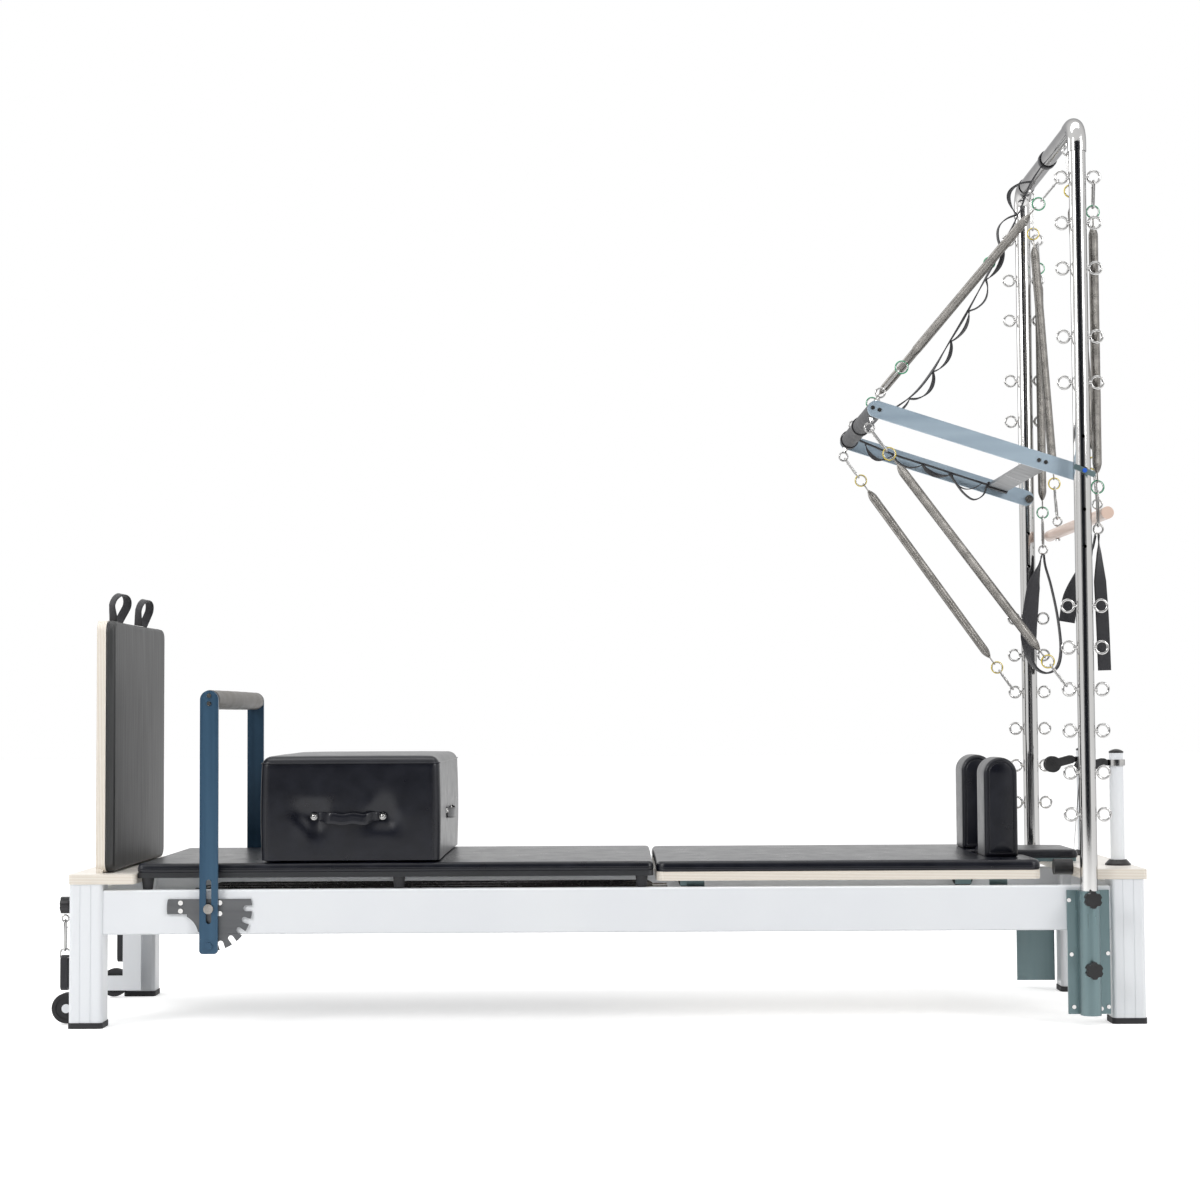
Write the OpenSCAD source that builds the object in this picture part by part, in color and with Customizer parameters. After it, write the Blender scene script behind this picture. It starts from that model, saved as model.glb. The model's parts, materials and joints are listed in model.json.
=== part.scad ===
// Pilates tower unit: a carriage frame with a mat conversion, a jump board, a box,
// a footbar and a sprung tower at the head end.
// +X runs from the foot end to the tower, -Y is the near side, +Z is up.
// The origin is on the floor, under the middle of the whole unit.

/* [Frame] */
// Length over the outer faces of the legs
frame_l = 2400; // [2300:1:2500]
// Width over the outer faces of the legs
frame_w = 640; // [620:1:660]
// Leg size along the frame
leg_l = 75; // [70:1:85]
// Leg size across the frame
leg_w = 66; // [60:1:70]
// Wall of the leg extrusion
leg_wall = 3; // [2:0.5:5]
// Height of the underside of the plywood end caps
cap_z = 320; // [318:1:324]
// Thickness of the plywood end caps
cap_t = 22; // [18:1:24]
// Height of the foot caps
foot_t = 13; // [8:1:20]
// Overhang of the plywood caps over the legs
cap_over = 6; // [2:1:8]
// Height of the side rail profile
rail_h = 99; // [90:1:105]
// Thickness of the side rail profile
rail_t = 32; // [28:1:34]
// Step from the leg's outer face in to the rail's outer face
rail_inset = 7; // [5:1:9]
// Top of the side rails above the floor
rail_top = 306; // [302:1:307]
// Wall of the rail profile
rail_wall = 4; // [3:0.5:6]

/* [Mat conversion and carriage] */
// From the outer side of the frame in to the edge of the mat and the carriage
mat_inset = 20; // [12:1:40]
// Thickness of the mat's plywood
mat_ply = 12; // [10:1:14]
// Thickness of the mat's padding
mat_pad_t = 20; // [16:1:24]
// Length of the carriage
carriage_l = 863; // [820:1:864]
// Thickness of the carriage plywood
carriage_ply = 20; // [16:1:22]
// Thickness of the carriage pad
carriage_pad_t = 23; // [18:1:26]
// Free travel of the carriage with the mat in place
carriage_travel = 46; // [10:1:50]
// Length of the bumpers at the head end
bumper_l = 42; // [30:1:60]
// Radius of the carriage wheels
track_wheel_r = 25; // [22:1:26]
// Height of the shoulder rests above the pad
shoulder_h = 226; // [180:1:240]
// Length of the headrest
headrest_l = 212; // [190:1:215]

/* [Box and jump board] */
// Length of the box along the frame
box_l = 402; // [360:1:440]
// Width of the box
box_w = 600; // [560:1:610]
// Height of the box
box_h = 238; // [200:1:260]
// Height of the jump board above the cap
jump_h = 570; // [520:1:600]
// Width of the jump board
jump_w = 570; // [560:1:574]
// Thickness of the jump board's plywood
jump_ply = 20; // [18:1:22]
// Thickness of the jump board's pad
jump_pad_t = 23; // [18:1:26]

/* [Footbar] */
// Height of the footbar pivot above the floor
footbar_z = 265; // [260:1:268]
// Distance from the pivot to the footbar's centre
footbar_r = 466; // [440:1:480]
// Width of a footbar arm
arm_w = 41; // [38:1:44]
// Thickness of a footbar arm
arm_t = 8; // [6:1:9]
// Outer radius of the footbar's padded sleeve
footbar_pad_r = 22; // [20:0.5:24]
// Radius at which the latch pin and the notches lie
latch_r = 82; // [80:0.5:84]

/* [Tower] */
// Height of the tower
tower_h = 2042; // [1990:1:2070]
// Radius of the tower tubes
tube_r = 19; // [18:0.5:20]
// Wall of the tower tubes
tube_wall = 2; // [1.5:0.5:3]
// From the outer side of the frame out to the middle of an upright
upright_out = 17; // [16:0.5:20]
// Distance from the head end of the legs back to the uprights
upright_back = 127.5; // [126:0.5:130]
// Reach of an eye bolt ring's centre from the upright's centre
eye_reach = 37; // [36:0.5:39]
// Inner radius of the eye bolt rings
eye_r = 10.8; // [9.5:0.1:11.5]
// Wire radius of the eye bolt rings
eye_wire = 2.9; // [2.5:0.1:3]
// Height of the push-through bar's pivot
ptb_z = 1230; // [1200:1:1250]
// Distance from the pivot to the push-through bar
ptb_r = 480; // [460:1:500]
// Rise of the push-through arms at rest in degrees
ptb_angle = 18; // [12:1:22]
// Outer radius of the push-through bar's padded sleeve
ptb_pad_r = 20; // [18:0.5:22]
// Outer radius of the springs
spring_r = 11; // [10:0.5:11.5]
// Wire radius of the drawn coils
coil_wire = 1.9; // [1.5:0.1:2]
// Height of the roll-down bar
dowel_z = 1138; // [1120:1:1150]
// Radius of the roll-down bar
dowel_r = 14; // [12:0.5:15]
// Half the length of the roll-down bar
dowel_half = 335; // [300:1:340]

/* [Risers and wheels] */
// Height of the risers above the end cap
riser_h = 262; // [220:1:300]
// Radius of the riser posts
riser_r = 16; // [14:0.5:17]
// Distance of the risers from the middle of the frame
riser_y = 182; // [160:1:190]
// Radius of the transport wheels
transport_r = 34; // [30:1:35]
// Reach of the transport wheels beyond the legs
transport_reach = 54; // [50:1:60]

/* [Hidden] */
$fn = 48;

// Colours
white_paint = [0.90, 0.92, 0.94];
birch = [0.91, 0.87, 0.80];
wrapped_ply = [0.10, 0.10, 0.11];
leather = [0.13, 0.13, 0.15];
dark_plate = [0.30, 0.31, 0.33];
blue_steel = [0.36, 0.42, 0.50];
pale_steel = [0.70, 0.76, 0.83];
grey_metal = [0.52, 0.57, 0.59];
polished = [0.78, 0.78, 0.78];
black_plastic = [0.07, 0.07, 0.08];
webbing = [0.08, 0.08, 0.09];
spring_metal = [0.42, 0.40, 0.38];
ring_colour = [0.80, 0.78, 0.30];
maple = [0.87, 0.74, 0.66];
latch_blue = [0.15, 0.40, 0.80];

// Clearances
touch = 0.3;
run_gap = 0.1;
slot_gap = 1;

// Reference planes and positions
x_shift = (transport_reach - cap_over) / 2;
foot_x = -frame_l / 2 + x_shift;
head_x = frame_l / 2 + x_shift;
leg_y = frame_w / 2 - leg_w / 2;
leg_in_y = frame_w / 2 - leg_w;
rail_out = frame_w / 2 - rail_inset;
rail_in = rail_out - rail_t;
rail_z = rail_top - rail_h;
cap_top = cap_z + cap_t;
cap_foot_l = 147;
cap_head_l = 137;
ledge_w = 20;
ledge_t = 6;
cross_w = 40;
upright_x = head_x - upright_back;
upright_y = frame_w / 2 + upright_out;

// Mat, carriage and headrest
carriage_gap = 6;
mat_x = foot_x + cap_foot_l + slot_gap;
mat_l = head_x - cap_head_l - bumper_l - carriage_travel - carriage_l - carriage_gap - mat_x;
mat_w = frame_w - 2 * mat_inset;
mat_foot_h = 26;
mat_foot_r = 14;
mat_z = rail_top + mat_foot_h;
carriage_x = mat_x + mat_l + carriage_gap;
carriage_z = cap_z;
carriage_top = carriage_z + carriage_ply;
wheel_z = carriage_z - 14 - track_wheel_r;
ledge_z = wheel_z - track_wheel_r;
track_wheel_w = 16;
track_wheel_y = rail_in - 4 - track_wheel_w / 2;
axle_r = 5;
wheel_inset = 90;
hanger_t = 8;
shoulder_x = carriage_x + carriage_l - 112;
shoulder_l = 76;
shoulder_in = 104;
shoulder_w = 116;
shoulder_post_r = 9;
headrest_x = carriage_x + carriage_l - 87;
headrest_w = 200;
headrest_board_t = 8;
headrest_pad_t = 19;

// Lock knobs
lock_z = 272;
lock_y = leg_y;
lock_pin_r = 5;

// Bumpers that stop the carriage at the head end
bumper_r = 18;
bumper_y = 200;
bumper_x = carriage_x + carriage_l + carriage_travel;

// Headrest hinge
headrest_lift = 5;
hinge_x = headrest_x + 4;
hinge_z = carriage_top + 6;
hinge_r = 3;
knuckle_r = 5;
knuckle_y = 78;
knuckle_w = 16;

// Jump board
jump_x = foot_x + 52;
tongue_w = 20;
tongue_t = 14;
tongue_depth = 110;

// Footbar
footbar_x = foot_x + 314;
plate_t = 5;
plate_out = rail_out + plate_t;
arm_in = plate_out + 3;
pivot_r = 6;
slot_up = 65;
slot_down = 33;
arm_below = 100;
arm_above = 20;

// Tower
cross_z = tower_h - tube_r - tube_wall;
elbow_r = tube_r + tube_wall;
bend_r = 46;
sleeve_l = 20;
eye_levels = [465, 558, 651, 743, 836, 929, 1431, 1535, 1690, 1793, 1897];
spare_hole_levels = [1061, 1144, 1308];
eye_shank_r = 4;
ptb_arm_w = 38;
ptb_arm_t = 8;
ptb_arm_out = upright_y - tube_r - 6;
ptb_in = ptb_arm_out - ptb_arm_t;
ptb_bolt_r = 6;
ptb_brace_d = 88;
ptb_brace_w = 48;
ptb_brace_t = 8;
ptb_tube_r = 14;
ptb_eye_y = ptb_in - 18;
ptb_eye_h = 42;
latch_y = upright_y + tube_r + 4 + touch;
latch_t = 4;
latch_pin_r = 3.5;
knob_r = 19;
knob_levels = [279, 124];
flange_out = rail_out + 6;
bracket_z = 22;
bracket_h = 274;
bracket_l = 94;
socket_r = 23;
dowel_x = upright_x + 56;
roll_y = 230;
roll_eye_z = cross_z - tube_r - 17;
riser_x = head_x - 28;

// Clip, ring and hook lengths of a spring chain
clip_l = 64;
clip_w = 20;
clip_corner = 2.5;
clip_wire = 2;
ring_r = 13.5;
ring_wire = 2.2;
link_gap = 0.4;
bar_ring_r = 10.5;
bar_ring_wire = 2.3;
bar_eye_in = bar_ring_r - bar_ring_wire;
hook_l = 16;
taper_l = 24;
core_r = 5.5;

function lerp(a, b, t) = a + (b - a) * t;
function unit(v) = v / norm(v);
function along(a, b, d) = a + unit(b - a) * d;

// Along a chain, from the centre of an eye with this inner radius: the start of the clip,
// the centre of the coloured ring behind it, and the start of the spring
function clip_from(eye_in) = eye_in - 2 * clip_wire - link_gap;
function ring_from(eye_in, clip_l) =
    clip_from(eye_in) + clip_l - 2 * clip_wire - link_gap + ring_r - ring_wire;
function spring_from(eye_in, clip_l) =
    ring_from(eye_in, clip_l) + ring_r + ring_wire + link_gap;

// A point of the push-through frame: d along the arm, h square to it
function ptb_at(d, h, y) = [
    upright_x - d * cos(ptb_angle) + h * sin(ptb_angle), y,
    ptb_z + d * sin(ptb_angle) + h * cos(ptb_angle)
];

// Both sides of the frame
module both() {
    children();
    mirror([0, 1, 0]) children();
}

// Four copies placed symmetrically about the middle plane y = 0 at two places in x
module at_x(places) {
    for (x = places) translate([x, 0, 0]) children();
}

// A flat rectangle with round corners, centred
module rrect(w, d, r) {
    square([w - 2 * r, d], center = true);
    square([w, d - 2 * r], center = true);
    for (sx = [-1, 1], sy = [-1, 1])
        translate([sx * (w / 2 - r), sy * (d / 2 - r)]) circle(r);
}

// A block between two corners with its upright edges rounded
module slab(a, b, r) {
    translate([(a.x + b.x) / 2, (a.y + b.y) / 2, a.z])
        linear_extrude(b.z - a.z) rrect(b.x - a.x, b.y - a.y, r);
}

module block(a, b) {
    translate(a) cube(b - a);
}

// Points of a quarter circle from one angle to the next
corner_steps = 6;
function quarter(c, r, from) =
    [for (i = [0 : corner_steps]) c + r * [cos(from + 90 * i / corner_steps),
                                           sin(from + 90 * i / corner_steps)]];
// Inner points of a side from a to b that bows by rise to its left
side_steps = 10;
function bowed(a, b, rise) =
    [for (i = [1 : side_steps - 1]) let (t = i / side_steps, v = unit(b - a))
        lerp(a, b, t) + 4 * rise * t * (1 - t) * [-v.y, v.x]];

// A drawn-in rectangle: each side bows inwards by pinch
module pinched(w, d, r, pinch) {
    x = w / 2;
    y = d / 2;
    polygon(concat(
        quarter([x - r, y - r], r, 0), bowed([x - r, y], [r - x, y], pinch),
        quarter([r - x, y - r], r, 90), bowed([-x, y - r], [-x, r - y], pinch),
        quarter([r - x, r - y], r, 180), bowed([r - x, -y], [x - r, -y], pinch),
        quarter([x - r, r - y], r, 270), bowed([x, r - y], [x, y - r], pinch)));
}

// One end view of a cushion: round edges, flat below and crowned on top
module crowned(w, h, r, crown) {
    x = w / 2;
    y = h / 2;
    side = y - crown;
    polygon(concat(
        quarter([x - r, side - r], r, 0), bowed([x - r, side], [r - x, side], -crown),
        quarter([r - x, side - r], r, 90), quarter([r - x, r - y], r, 180),
        quarter([x - r, r - y], r, 270)));
}

// A cushion between two corners, from its plan and its two end views
module cushion(a, b, r, edge, crown, pinch) {
    s = b - a;
    translate((a + b) / 2) intersection() {
        translate([0, 0, -s.z / 2]) linear_extrude(s.z) pinched(s.x, s.y, r, pinch);
        translate([-s.x / 2, 0, 0]) rotate([90, 0, 90]) linear_extrude(s.x)
            crowned(s.y, s.z, edge, crown);
        translate([0, s.y / 2, 0]) rotate([90, 0, 0]) linear_extrude(s.y)
            crowned(s.x, s.z, edge, crown);
    }
}

// Turns local +Z into the line from a to b
module on_line(a, b) {
    v = b - a;
    translate(a) rotate([0, acos(v.z / norm(v)), atan2(v.y, v.x)]) children();
}

// A ring of round wire about local Z
module ring(r, wire) {
    rotate_extrude($fn = 40) translate([r, 0]) circle(wire, $fn = 16);
}

// A ring in the XZ plane, centred at c
module ring_xz(c, r, wire) {
    translate(c) rotate([90, 0, 0]) ring(r, wire);
}

// A cylinder along +Y from y0 to y1
module pin_y(x, z, r, y0, y1) {
    translate([x, y1, z]) rotate([90, 0, 0]) cylinder(h = y1 - y0, r = r);
}

// A cylinder along +X from x0 to x1
module pin_x(y, z, r, x0, x1) {
    translate([x0, y, z]) rotate([0, 90, 0]) cylinder(h = x1 - x0, r = r);
}

// A snap clip between two points: an oblong loop of wire with a bar across its mouth
module clip(a, b, wide, turn) {
    length = norm(b - a) - 2 * clip_wire;
    on_line(a, b) rotate([0, 0, turn]) translate([0, 0, clip_wire + length / 2])
        rotate([90, 0, 0]) linear_extrude(2 * clip_wire, center = true) difference() {
            rrect(wide, length + 2 * clip_wire, clip_corner + 2 * clip_wire);
            rrect(wide - 4 * clip_wire, length - 2 * clip_wire, clip_corner);
        }
}

// Centre line of a coil round local Z
curl_rings = 8;
curl_sides = 6;
function coil_line(r, length, turns) = [
    for (i = [0 : curl_rings * turns]) let (t = i / (curl_rings * turns))
        [r * cos(360 * turns * t), r * sin(360 * turns * t), length * t]
];
// Least gap of a coil to itself, between points over half a turn apart
function coil_gap(line, wire) = min([
    for (i = [0 : 2 * curl_rings], j = [i + curl_rings / 2 + 1 : 3 * curl_rings])
        norm(line[i] - line[j]) - 2 * wire
]);
module coil(r, wire, length, turns) {
    line = coil_line(r, length, turns);
    n = len(line);
    climb = atan2(length, 2 * PI * r * turns);
    points = [
        for (i = [0 : n - 1]) let (a = 360 * turns * i / (n - 1))
            for (k = [0 : curl_sides - 1]) let (b = 360 * k / curl_sides)
                line[i] + wire * cos(b) * [cos(a), sin(a), 0]
                + wire * sin(b) * [sin(climb) * sin(a), -sin(climb) * cos(a), cos(climb)]
    ];
    m = curl_sides;
    faces = [
        for (i = [0 : n - 2], k = [0 : m - 1]) let (q = (k + 1) % m)
            each [[i * m + k, i * m + q, (i + 1) * m + q],
                  [i * m + k, (i + 1) * m + q, (i + 1) * m + k]],
        for (k = [1 : m - 2]) [0, k + 1, k],
        for (k = [1 : m - 2]) [(n - 1) * m, (n - 1) * m + k, (n - 1) * m + k + 1]
    ];
    echo("least gap of a coil to itself", coil_gap(line, wire));
    polyhedron(points, faces, convexity = 6);
}

// A spring between its two hook ends: inner safety cord with tapered ends, and the coil
module spring(a, b, turns) {
    total = norm(b - a);
    mid = total - 2 * taper_l - 2 * hook_l;
    on_line(a, b) {
        color(spring_metal) {
            cylinder(h = hook_l + 1, r = 2);
            translate([0, 0, hook_l]) cylinder(h = taper_l, r1 = 3.5, r2 = spring_r - 1);
            translate([0, 0, hook_l + taper_l]) cylinder(h = mid, r = core_r);
            translate([0, 0, hook_l + taper_l + mid])
                cylinder(h = taper_l, r1 = spring_r - 1, r2 = 3.5);
            translate([0, 0, total - hook_l - 1]) cylinder(h = hook_l + 1, r = 2);
        }
        color(spring_metal) translate([0, 0, hook_l + taper_l + coil_wire + touch])
            coil(spring_r - coil_wire, coil_wire, mid - 2 * coil_wire - 2 * touch, turns);
    }
}

// A route with more points between each two on a smooth curve through them, the width
// direction turned evenly
function curve(a, b, c, d, t) =
    b + (c - a) * t / 2 + (2 * a - 5 * b + 4 * c - d) * t * t / 2
    + (3 * b - a - 3 * c + d) * t * t * t / 2;
function rounded(path, steps) = [
    for (i = [0 : len(path) - 2], j = [0 : steps - 1]) let (
        before = path[max(i - 1, 0)][0],
        after = path[min(i + 2, len(path) - 1)][0])
        [curve(before, path[i][0], path[i + 1][0], after, j / steps),
         lerp(unit(path[i][1]), unit(path[i + 1][1]), j / steps)],
    path[len(path) - 1]
];

// A flat strap swept along hand-set points; each point has its width direction. Its two
// sides are split along the same diagonals, so it keeps its thickness where it twists
module strap(path, width, thick) {
    n = len(path);
    section = [
        [-0.5, -0.25], [-0.46, -0.5], [0.46, -0.5], [0.5, -0.25],
        [0.5, 0.25], [0.46, 0.5], [-0.46, 0.5], [-0.5, 0.25]
    ];
    m = len(section);
    points = [
        for (i = [0 : n - 1]) let (
            before = path[max(i - 1, 0)][0],
            after = path[min(i + 1, n - 1)][0],
            t = unit(after - before),
            w0 = path[i][1],
            w = unit(w0 - (w0 * t) * t),
            u = cross(t, w))
            for (s = section) path[i][0] + s.x * width * w + s.y * thick * u
    ];
    faces = [
        for (i = [0 : n - 2], k = [0 : m - 1]) let (
            a = i * m + k,
            b = i * m + (k + 1) % m)
            each k < m / 2 ? [[a, b + m, b], [a, a + m, b + m]]
                           : [[a, a + m, b], [a + m, b + m, b]],
        for (k = [1 : m - 2]) [0, k, k + 1],
        for (k = [1 : m - 2]) [(n - 1) * m, (n - 1) * m + k + 1, (n - 1) * m + k]
    ];
    polyhedron(points, faces, convexity = 8);
}

// Frame

module rail_profile() {
    difference() {
        translate([rail_out - rail_t / 2, rail_z + rail_h / 2]) rrect(rail_t, rail_h, 4);
        translate([rail_out - rail_t / 2, rail_z + rail_h / 2])
            rrect(rail_t - 2 * rail_wall, rail_h - 2 * rail_wall, 2);
    }
    translate([rail_in - ledge_w, ledge_z - ledge_t]) square([ledge_w + 1, ledge_t]);
}

module side_rails() {
    color(white_paint) both()
        translate([foot_x + leg_l, 0, 0]) rotate([90, 0, 90])
            linear_extrude(frame_l - 2 * leg_l) rail_profile();
}

module leg_profile() {
    difference() {
        rrect(leg_l, leg_w, 9);
        rrect(leg_l - 2 * leg_wall, leg_w - 2 * leg_wall, 6);
        for (s = [-1, 1]) translate([s * 12, -leg_w / 2]) square([2, 2], center = true);
    }
}

module leg() {
    linear_extrude(cap_z - foot_t) leg_profile();
}

module legs() {
    color(white_paint) both() {
        translate([head_x - leg_l / 2, -leg_y, foot_t]) leg();
        difference() {
            translate([foot_x + leg_l / 2, -leg_y, foot_t]) leg();
            pin_x(-leg_y, lock_z, lock_pin_r + run_gap, foot_x - 1, foot_x + leg_wall + 1);
        }
    }
}

module foot_caps() {
    color(black_plastic) both() at_x([foot_x + leg_l / 2, head_x - leg_l / 2])
        translate([0, -leg_y, 0]) {
            linear_extrude(foot_t) rrect(leg_l + 3, leg_w + 3, 9);
            translate([0, 0, foot_t]) linear_extrude(20)
                rrect(leg_l - 2 * leg_wall - 1, leg_w - 2 * leg_wall - 1, 5);
        }
}

module cross_members() {
    color(white_paint) for (x = [foot_x + 8, head_x - 8 - cross_w])
        translate([x + cross_w / 2, leg_in_y, rail_z + rail_h / 2]) rotate([90, 0, 0])
            linear_extrude(2 * leg_in_y) difference() {
                rrect(cross_w, rail_h - 10, 4);
                rrect(cross_w - 8, rail_h - 18, 2);
            }
}

module end_cap_foot() {
    color(birch) difference() {
        slab([foot_x - 1, -frame_w / 2 - 2, cap_z],
             [foot_x + cap_foot_l, frame_w / 2 + 2, cap_top], 8);
        both() block([jump_x - slot_gap, -tongue_y - tongue_w / 2 - slot_gap, cap_z - 1],
                     [jump_x + tongue_t + slot_gap, -tongue_y + tongue_w / 2 + slot_gap,
                      cap_top + 1]);
    }
}

module end_cap_head() {
    color(birch) difference() {
        slab([head_x - cap_head_l, -frame_w / 2 - 2, cap_z],
             [head_x + cap_over, frame_w / 2 + 2, cap_top], 8);
        both() translate([upright_x, -upright_y, cap_z - 1]) cylinder(h = cap_t + 2, r = 22);
    }
}

// Footbar

latch_levels = [0, 18, 36, 54, 72, 90];
notch_r = 6.5;
module sector_profile() {
    difference() {
        union() {
            circle(latch_r + 13, $fn = 120);
            translate([-86, -12]) square([100, 33]);
            translate([0, -30]) square([75, 51]);
        }
        translate([-140, 21]) square([280, 100]);
        translate([-74, -62]) circle(50);
        translate([-150, -112]) square([100, 100]);
        translate([-100, -112]) square([78, 60]);
        for (a = latch_levels) rotate(a) translate([0, -latch_r]) circle(notch_r);
        for (a = latch_levels) rotate(a)
            translate([-notch_r, -latch_r - 20]) square([2 * notch_r, 20]);
        circle(pivot_r + run_gap);
        for (p = plate_screws) translate(p) circle(3);
    }
}
plate_screws = [[-64, 13], [-64, -5], [24, 13], [24, -11]];

module footbar_plates() {
    color(dark_plate) both()
        translate([footbar_x, -rail_out, footbar_z]) rotate([90, 0, 0])
            linear_extrude(plate_t) sector_profile();
}

module cap_screw(x, z, y, r, head_r, head_t, shank) {
    pin_y(x, z, r, y, y + shank);
    pin_y(x, z, head_r, y - head_t, y);
}

bracket_screws = [
    [-42, 22], [-38, 142], [-34, 258], [43, 140], [43, 258], [27, 262]
];
bracket_left = upright_x - 46;
module frame_screws() {
    color(polished) both() {
        for (p = plate_screws)
            cap_screw(footbar_x + p.x, footbar_z + p.y, -plate_out, 3, 5.5, 2.5, plate_t);
        for (p = bracket_screws)
            cap_screw(upright_x + p.x, bracket_z + bracket_h - p.y, -flange_out, 2.5, 4.5, 2.5, 4);
    }
}

arm_z0 = footbar_z - arm_below;
arm_z1 = footbar_z + footbar_r + arm_above;
module arm_outline() {
    difference() {
        union() {
            translate([-arm_w / 2, -arm_below + 12]) square([arm_w, arm_z1 - arm_z0 - 32]);
            translate([0, 20 - arm_below]) rrect(arm_w, 40, 8);
            translate([0, footbar_r]) circle(arm_w / 2);
        }
        translate([-pivot_r - run_gap, -slot_down + pivot_r])
            square([2 * (pivot_r + run_gap), slot_up + slot_down - 2 * pivot_r]);
        translate([0, -slot_down + pivot_r]) circle(pivot_r + run_gap);
        translate([0, slot_up - pivot_r]) circle(pivot_r + run_gap);
        for (s = [-1, 1]) translate([0, footbar_r + 9 * s]) circle(3);
    }
}

module footbar_arms() {
    color(blue_steel) both()
        translate([footbar_x, -arm_in, footbar_z]) rotate([90, 0, 0]) {
            linear_extrude(arm_t) arm_outline();
            translate([0, -latch_r, arm_t]) cylinder(h = 4, r = 8);
            translate([0, -latch_r, -3 + touch + 0.1]) cylinder(h = 3, r = 5);
        }
}

module footbar_tube() {
    color(polished) {
        pin_y(footbar_x, footbar_z + footbar_r, 15, -arm_in, arm_in);
        both() for (s = [-1, 1])
            cap_screw(footbar_x, footbar_z + footbar_r + 9 * s, -arm_in - arm_t, 3, 5, 2.5,
                      arm_t - touch);
    }
}

module footbar_pad() {
    color(dark_plate) difference() {
        pin_y(footbar_x, footbar_z + footbar_r, footbar_pad_r, -arm_in + 1, arm_in - 1);
        pin_y(footbar_x, footbar_z + footbar_r, 15, -arm_in, arm_in);
    }
}

module footbar_pivots() {
    color(polished) both() {
        pin_y(footbar_x, footbar_z, pivot_r, -arm_in - arm_t - 1, -rail_out);
        pin_y(footbar_x, footbar_z, 11, -arm_in - arm_t - 5, -arm_in - arm_t - touch);
    }
}

// Carriage, mat, box and jump board

module carriage_platform() {
    color(birch) difference() {
        union() {
            slab([carriage_x, -mat_w / 2, carriage_z],
                 [carriage_x + carriage_l, mat_w / 2, carriage_top], 22);
            both() knuckle();
        }
        both() {
            translate([shoulder_x + shoulder_l / 2, -shoulder_in - shoulder_w / 2, carriage_z - 1])
                cylinder(h = carriage_ply + 2, r = shoulder_post_r + run_gap);
            pin_y(hinge_x, hinge_z, hinge_r + run_gap / 2, -knuckle_y - knuckle_w, -knuckle_y + 1);
        }
    }
}

// A hinge knuckle of the headrest, standing on the platform
module knuckle() {
    pin_y(hinge_x, hinge_z, knuckle_r, -knuckle_y - knuckle_w, -knuckle_y);
    block([hinge_x - knuckle_r, -knuckle_y - knuckle_w, carriage_top - 1],
          [hinge_x + knuckle_r, -knuckle_y, hinge_z]);
}

module carriage_pad() {
    color(leather) difference() {
        cushion([carriage_x + 1, -mat_w / 2 + 1, carriage_top],
                [carriage_x + carriage_l - 1, mat_w / 2 - 1, carriage_top + carriage_pad_t],
                22, 8, 3, 1.5);
        block([headrest_x - 18, -headrest_w / 2 - 4, carriage_top - 1],
              [carriage_x + carriage_l + 5, headrest_w / 2 + 4, carriage_top + 40]);
        both() translate([shoulder_x + shoulder_l / 2, -shoulder_in - shoulder_w / 2,
                          carriage_top - 1]) cylinder(h = 60, r = shoulder_post_r + 0.5);
    }
}

module wheel_pair(x) {
    both() difference() {
        union() {
            pin_y(x, wheel_z, track_wheel_r - touch, -track_wheel_y - track_wheel_w / 2,
                  -track_wheel_y + track_wheel_w / 2);
            pin_y(x, wheel_z, 11, -track_wheel_y - track_wheel_w / 2 - 1,
                  -track_wheel_y + track_wheel_w / 2 + 1);
        }
        pin_y(x, wheel_z, axle_r + run_gap / 2, -track_wheel_y - 20, -track_wheel_y + 20);
    }
}

wheel_foot_x = carriage_x + wheel_inset;
wheel_head_x = carriage_x + carriage_l - wheel_inset;
module wheel_set_foot() {
    color(black_plastic) wheel_pair(wheel_foot_x);
}

module wheel_set_head() {
    color(black_plastic) wheel_pair(wheel_head_x);
}

module wheel_axles() {
    color(grey_metal) both() for (x = [wheel_foot_x, wheel_head_x]) {
        pin_y(x, wheel_z, axle_r, -track_wheel_y - track_wheel_w / 2 - 3,
              -track_wheel_y + track_wheel_w / 2 + 2);
        y = -track_wheel_y + track_wheel_w / 2 + 2;
        block([x - 20, y, wheel_z - 14], [x + 20, y + hanger_t, carriage_z]);
    }
}

module shoulder_rest() {
    x = shoulder_x + shoulder_l / 2;
    y = -shoulder_in - shoulder_w / 2;
    z = carriage_top + carriage_pad_t + 0.5;
    color(leather) translate([x, y + shoulder_w / 2, z]) rotate([90, 0, 0])
        intersection() {
            linear_extrude(shoulder_w) {
                translate([-shoulder_l / 2, 0])
                    square([shoulder_l, shoulder_h - shoulder_l / 2]);
                translate([0, shoulder_h - shoulder_l / 2]) circle(shoulder_l / 2);
            }
            translate([-shoulder_l, -1, 0]) rotate([0, 90, 0]) linear_extrude(2 * shoulder_l)
                translate([-shoulder_w / 2, shoulder_h / 2]) rrect(shoulder_w, shoulder_h + 2, 9);
        }
    color(grey_metal) translate([x, y, carriage_z - 12])
        cylinder(h = z - carriage_z + 12 - touch, r = shoulder_post_r);
}

module shoulder_rest_near() {
    shoulder_rest();
}

module shoulder_rest_far() {
    mirror([0, 1, 0]) shoulder_rest();
}

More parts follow.
